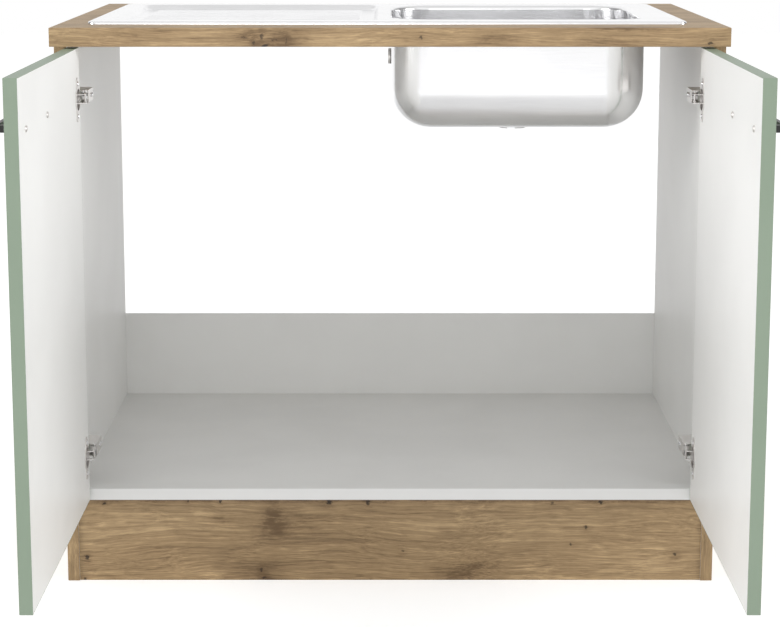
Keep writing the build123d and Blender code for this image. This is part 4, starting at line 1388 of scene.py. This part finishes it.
@dataclass
class Overflow:
    """Overflow through the bowl's left wall: plate and screw inside, gasket and boss outside."""

    seat: Point = (3.0, 253.0, 794.0)
    plate: float = 1.5
    screw: PanHead = PanHead(1.5, 7.5, 2.8, 1.6)

    def build(self) -> None:
        """Dress the pieces and turn the screw."""
        ease("overflow_plate", POLISHED, "cabinet", 0.15)
        dress(RUBBER, "overflow_gasket")
        ease("overflow_boss", NICKEL, "cabinet", 0.3)
        shell = Shell()
        seat = (self.seat[0] + self.plate, self.seat[1], self.seat[2])
        self.screw.add_to(shell, seat, Facing.RIGHT)
        shell.piece("overflow_screw", "cut", POLISHED, "cabinet")


@dataclass
class Handed:
    """What comes once for each hand and is drawn for the left."""

    side: Side

    def own(self, name: str) -> str:
        """The name of this hand's node or body."""
        return name + self.side.ending

    def make(self, shell: Shell, node: str, made: str, finish: Finish, body: str) -> None:
        """Make this hand's piece of a shell that is drawn for the left."""
        shell.handed(self.side).piece(self.own(node), made, finish, body)


@dataclass
class Door(Handed):
    """One sage green door standing open."""

    outer: float = -480.0
    inner: float = -462.0
    free: float = -514.0
    hinge: float = -17.0
    low: float = 132.0
    high: float = 829.0
    decor: float = 0.8
    banding: float = 1.0
    corner: float = 0.9
    softness: float = 0.7
    inner_softness: float = 0.35
    handle_ys: tuple[float, float] = (-464.0, -304.0)
    handle_z: float = 760.0
    handle_reach: float = 25.0
    handle_height: float = 9.5
    leg: float = 10.0
    grip: float = 7.0
    outer_round: float = 7.0
    inner_round: float = 3.0
    grip_softness: float = 1.2
    screw: PanHead = PanHead(2.0, 27.0, 4.5, 2.5)

    @property
    def body(self) -> str:
        """The body that the door moves with."""
        return self.own("door")

    def build(self) -> None:
        """Board, green face and edging, handle with its screws."""
        dress(WHITE_BOARD, self.own("door_board"))
        self.skin()
        self.handle()
        self.handle_screws()

    def skin(self) -> None:
        """Green face and edging: the door's outside with soft edges, and the edging's rim on the inner side.

        The face is the outline grown towards the outside with a soft edge. The edging is a ring between the
        outline and the outline moved in by the banding.
        """
        middle = ((self.free + self.hinge) / 2, (self.low + self.high) / 2)
        width, height = self.hinge - self.free, self.high - self.low
        outline = partial(rounded_rectangle, height, width, self.corner, middle[::-1], 3)
        face = Shell()
        face.closed(pillow(outline, -self.outer - self.decor, -self.outer, self.softness, HIDDEN),
                    Facing.LEFT)
        self.make(face, "door_face", "soft", SAGE, self.body)
        soft = self.inner_softness
        turn = quarter(3)
        inward = np.concatenate([[0.0, 0.0], soft * (1 - np.cos(turn)), [self.banding, self.banding, 0.0]])
        level = np.concatenate([[self.outer + self.decor, self.inner - soft - GUARD],
                                self.inner - soft * (1 - np.sin(turn)),
                                [self.inner, self.outer + self.decor, self.outer + self.decor]])
        ring = partial(rounded_rectangle, width, height, self.corner, middle, 3)
        edging = Shell()
        edging.skin(placed(grown(ring, -inward, level), (0, 0, 0), Facing.RIGHT))
        self.make(edging, "door_edging", "soft", SAGE, self.body)

    def handle(self) -> None:
        """Bow handle: a U outline with rounded corners, grown upward with soft edges."""
        leg, outer, inner = self.leg, self.outer_round, self.inner_round
        start, end = self.handle_ys[0] - leg / 2, self.handle_ys[1] + leg / 2
        far, near = self.outer - self.handle_reach, self.outer
        inside = far + self.grip + inner
        corners = np.vstack([
            [[near, end]],
            arc((far + outer, end - outer), outer, 90, 180, 8),
            arc((far + outer, start + outer), outer, 180, 270, 8),
            [[near, start], [near, start + leg]],
            arc((inside, start + leg + inner), inner, 270, 180, 6),
            arc((inside, end - leg - inner), inner, 180, 90, 6),
            [[near, end - leg]],
        ])
        shell = Shell()
        low, high = self.handle_z - self.handle_height / 2, self.handle_z + self.handle_height / 2
        shell.closed(pillow(partial(offset, corners), low, high, self.grip_softness, steps=4))
        self.make(shell, "handle", "bow", BLACK, self.body)

    def handle_screws(self) -> None:
        """Two screws through the door, their heads on its inner side."""
        shell = Shell()
        for y in self.handle_ys:
            self.screw.add_to(shell, (self.inner, y, self.handle_z), Facing.RIGHT)
        self.make(shell, "handle_screws", "cut", NICKEL, self.body)


@dataclass
class Hinges(Handed):
    """The two concealed hinges of one door."""

    heights: tuple[float, float] = (206.0, 753.0)
    leaf: float = -462.0
    panel: float = -482.0
    cup_screw_y: float = -45.5
    cup_screw_rise: float = 24.0
    flange: float = 1.2
    plate_y: float = 25.0
    plate_rise: float = 16.0
    plate: float = 2.0
    arm_top: float = -453.0
    adjuster_ys: tuple[float, float] = (33.0, 44.0)
    cup_screw: PanHead = PanHead(1.75, 12.2, 3.6, 1.8)
    plate_screw: PanHead = PanHead(2.5, 15.0, 4.2, 2.2)
    adjusting_screw: PanHead = PanHead(2.0, 15.0, 3.2, 1.5)

    def build(self) -> None:
        """Soften the pressed pieces and cut the screws."""
        ease(self.own("hinge_cups"), NICKEL, self.own("door"), 0.2)
        ease(self.own("hinge_arms"), NICKEL, "cabinet", 0.2)
        ease(self.own("mounting_plates"), NICKEL, "cabinet", 0.2)
        ease(self.own("hinge_links"), NICKEL, self.own("hinge_link"), 0.15)
        dress(POLISHED, self.own("cup_pins"), self.own("arm_pins"))
        self.screws("cup_screws", self.own("door"), self.cup_screw,
                    self.above_and_below(self.leaf + self.flange, self.cup_screw_y, self.cup_screw_rise))
        self.screws("plate_screws", "cabinet", self.plate_screw,
                    self.above_and_below(self.panel + self.plate, self.plate_y, self.plate_rise))
        self.screws("adjusting_screws", "cabinet", self.adjusting_screw,
                    [(self.arm_top, y, z) for z in self.heights for y in self.adjuster_ys])

    def above_and_below(self, x: float, y: float, rise: float) -> list[Point]:
        """Seats a rise below and above the middle of each hinge."""
        return [(x, y, z + way * rise) for z in self.heights for way in (-1, 1)]

    def screws(self, node: str, body: str, screw: PanHead, seats: list[Point]) -> None:
        """One piece for all screws of a node.

        Args:
            node: The node's name without its hand.
            body: The body that the screws move with.
            screw: One screw.
            seats: Where the heads rest, for the left hand.
        """
        shell = Shell()
        for seat in seats:
            screw.add_to(shell, seat, Facing.RIGHT)
        self.make(shell, node, "cut", POLISHED, body)


# ------------------------------------------------------------------ studio


@dataclass(frozen=True)
class Softbox:
    """One square area lamp: its place and size in metres, its turn in degrees and its power in watts."""

    name: str
    place: Point
    turn: Point
    size: float
    power: float

    def build(self) -> None:
        """Add the lamp."""
        lamp = bpy.data.lights.new(self.name, "AREA")
        lamp.shape, lamp.size, lamp.energy = "SQUARE", self.size, self.power
        thing = in_scene(self.name, lamp)
        thing.location = self.place
        thing.rotation_euler = tuple(math.radians(angle) for angle in self.turn)


@dataclass(frozen=True)
class Studio:
    """Pale floor, soft light and the camera at the photograph's angle.

    A span holds the two values between which an effect comes in.
    """

    eye: Point = (0.0, -2.968, 1.056)
    tilt: float = 9.37
    lens: float = 91.7
    sensor: float = 36.0
    shift: float = -0.12
    ambient: float = 0.81
    ambient_behind: float = 0.56
    behind_span: tuple[float, float] = (-0.8, 0.8)
    dark_side: float = 0.3
    side_span: tuple[float, float] = (0.45, 0.92)
    dark_top: float = 0.8
    top_span: tuple[float, float] = (0.55, 0.97)
    floor_reach: float = 12.0
    floor_grey: float = 0.8
    floor_glow: float = 0.48
    far_span: tuple[float, float] = (1.0, 4.5)
    lamps: tuple[Softbox, ...] = (
        Softbox("left", (-6.0, -2.4, 2.2), (75, 0, -68), 2.6, 185.0),
        Softbox("right", (6.0, -2.4, 2.2), (75, 0, 68), 2.6, 180.0),
        Softbox("front", (-0.3, -5.0, 1.5), (82, 0, -4), 1.2, 12.0),
    )

    def build(self) -> None:
        """Set up everything that isn't part of the object."""
        bpy.context.scene.view_settings.view_transform = "Standard"
        self.camera()
        self.world()
        self.floor()
        for lamp in self.lamps:
            lamp.build()

    def camera(self) -> None:
        """Camera straight in front, tilted down."""
        data = bpy.data.cameras.new("camera")
        data.lens, data.sensor_width, data.shift_y = self.lens, self.sensor, self.shift
        thing = in_scene("camera", data)
        thing.location = self.eye
        thing.rotation_euler = (math.radians(90 - self.tilt), 0, 0)
        bpy.context.scene.camera = thing

    def world(self) -> None:
        """Even light, seen as white, a little stronger from the front than from behind.

        Mirrors see it darker at its left and right ends and overhead, as in a studio. The share of the
        direction that points sideways is the size of its X, the share to the back is its Y, and the share
        overhead is its Z.
        """
        world = bpy.data.worlds.new("studio")
        bpy.context.scene.world = world
        world.use_nodes = True
        graph = Graph(world.node_tree)
        path = graph.add("ShaderNodeLightPath").outputs
        direct = graph.calc("MAXIMUM", path["Is Camera Ray"], path["Is Transmission Ray"])
        direction = graph.add("ShaderNodeTexCoord").outputs["Generated"]
        share = graph.add("ShaderNodeSeparateXYZ", {0: direction}).outputs
        sideways = graph.span(graph.calc("ABSOLUTE", share["X"]), *self.side_span, 1.0, self.dark_side)
        overhead = graph.span(share["Z"], *self.top_span, 1.0, self.dark_top)
        ambient = graph.span(share["Y"], *self.behind_span, self.ambient, self.ambient_behind)
        mirrored = graph.calc("SUBTRACT", graph.times(sideways, overhead), ambient)
        strength = graph.calc("MULTIPLY_ADD", direct, graph.calc("SUBTRACT", 1.0, ambient), ambient)
        strength = graph.calc("MULTIPLY_ADD", path["Is Glossy Ray"], mirrored, strength)
        light = graph.add("ShaderNodeBackground", {"Color": (1, 1, 1, 1), "Strength": strength})
        graph.add("ShaderNodeOutputWorld", {"Surface": light.outputs[0]})

    def floor(self) -> None:
        """A wide pale floor with the shadow, nearly white to the camera, and to mirrors further off."""
        mesh = bpy.data.meshes.new("floor")
        reach, grey = self.floor_reach, self.floor_grey
        mesh.from_pydata([(-reach, -reach, 0), (reach, -reach, 0), (reach, reach, 0), (-reach, reach, 0)], [],
                         [(0, 1, 2, 3)])
        thing = in_scene("floor", mesh)
        made = bpy.data.materials.new("floor_paint")
        made.use_nodes = True
        graph = Graph(made.node_tree)
        matt = graph.add("ShaderNodeBsdfDiffuse", {"Color": (grey, grey, grey, 1)})
        path = graph.add("ShaderNodeLightPath").outputs
        place = graph.add("ShaderNodeTexCoord").outputs["Object"]
        far = graph.span(graph.vector("LENGTH", place, out=1), *self.far_span)
        direct = graph.calc("MAXIMUM", path["Is Camera Ray"], path["Is Transmission Ray"])
        seen = graph.calc("MULTIPLY_ADD", path["Is Glossy Ray"], far, direct)
        strength = graph.times(seen, self.floor_glow)
        glow = graph.add("ShaderNodeEmission", {"Color": (1, 1, 1, 1), "Strength": strength})
        both = graph.add("ShaderNodeAddShader", {0: matt.outputs[0], 1: glow.outputs[0]})
        graph.add("ShaderNodeOutputMaterial", {"Surface": both.outputs[0]})
        mesh.materials.append(made)


def main() -> None:
    """Build the studio and every part."""
    logging.basicConfig(level=logging.INFO, format="%(name)s %(message)s")
    for part in (Studio(), Carcass(), Worktop(), Sink(), WasteOutlet(), Overflow()):
        part.build()
    for side in Side:
        Door(side).build()
        Hinges(side).build()


if __name__ == "__main__":
    main()
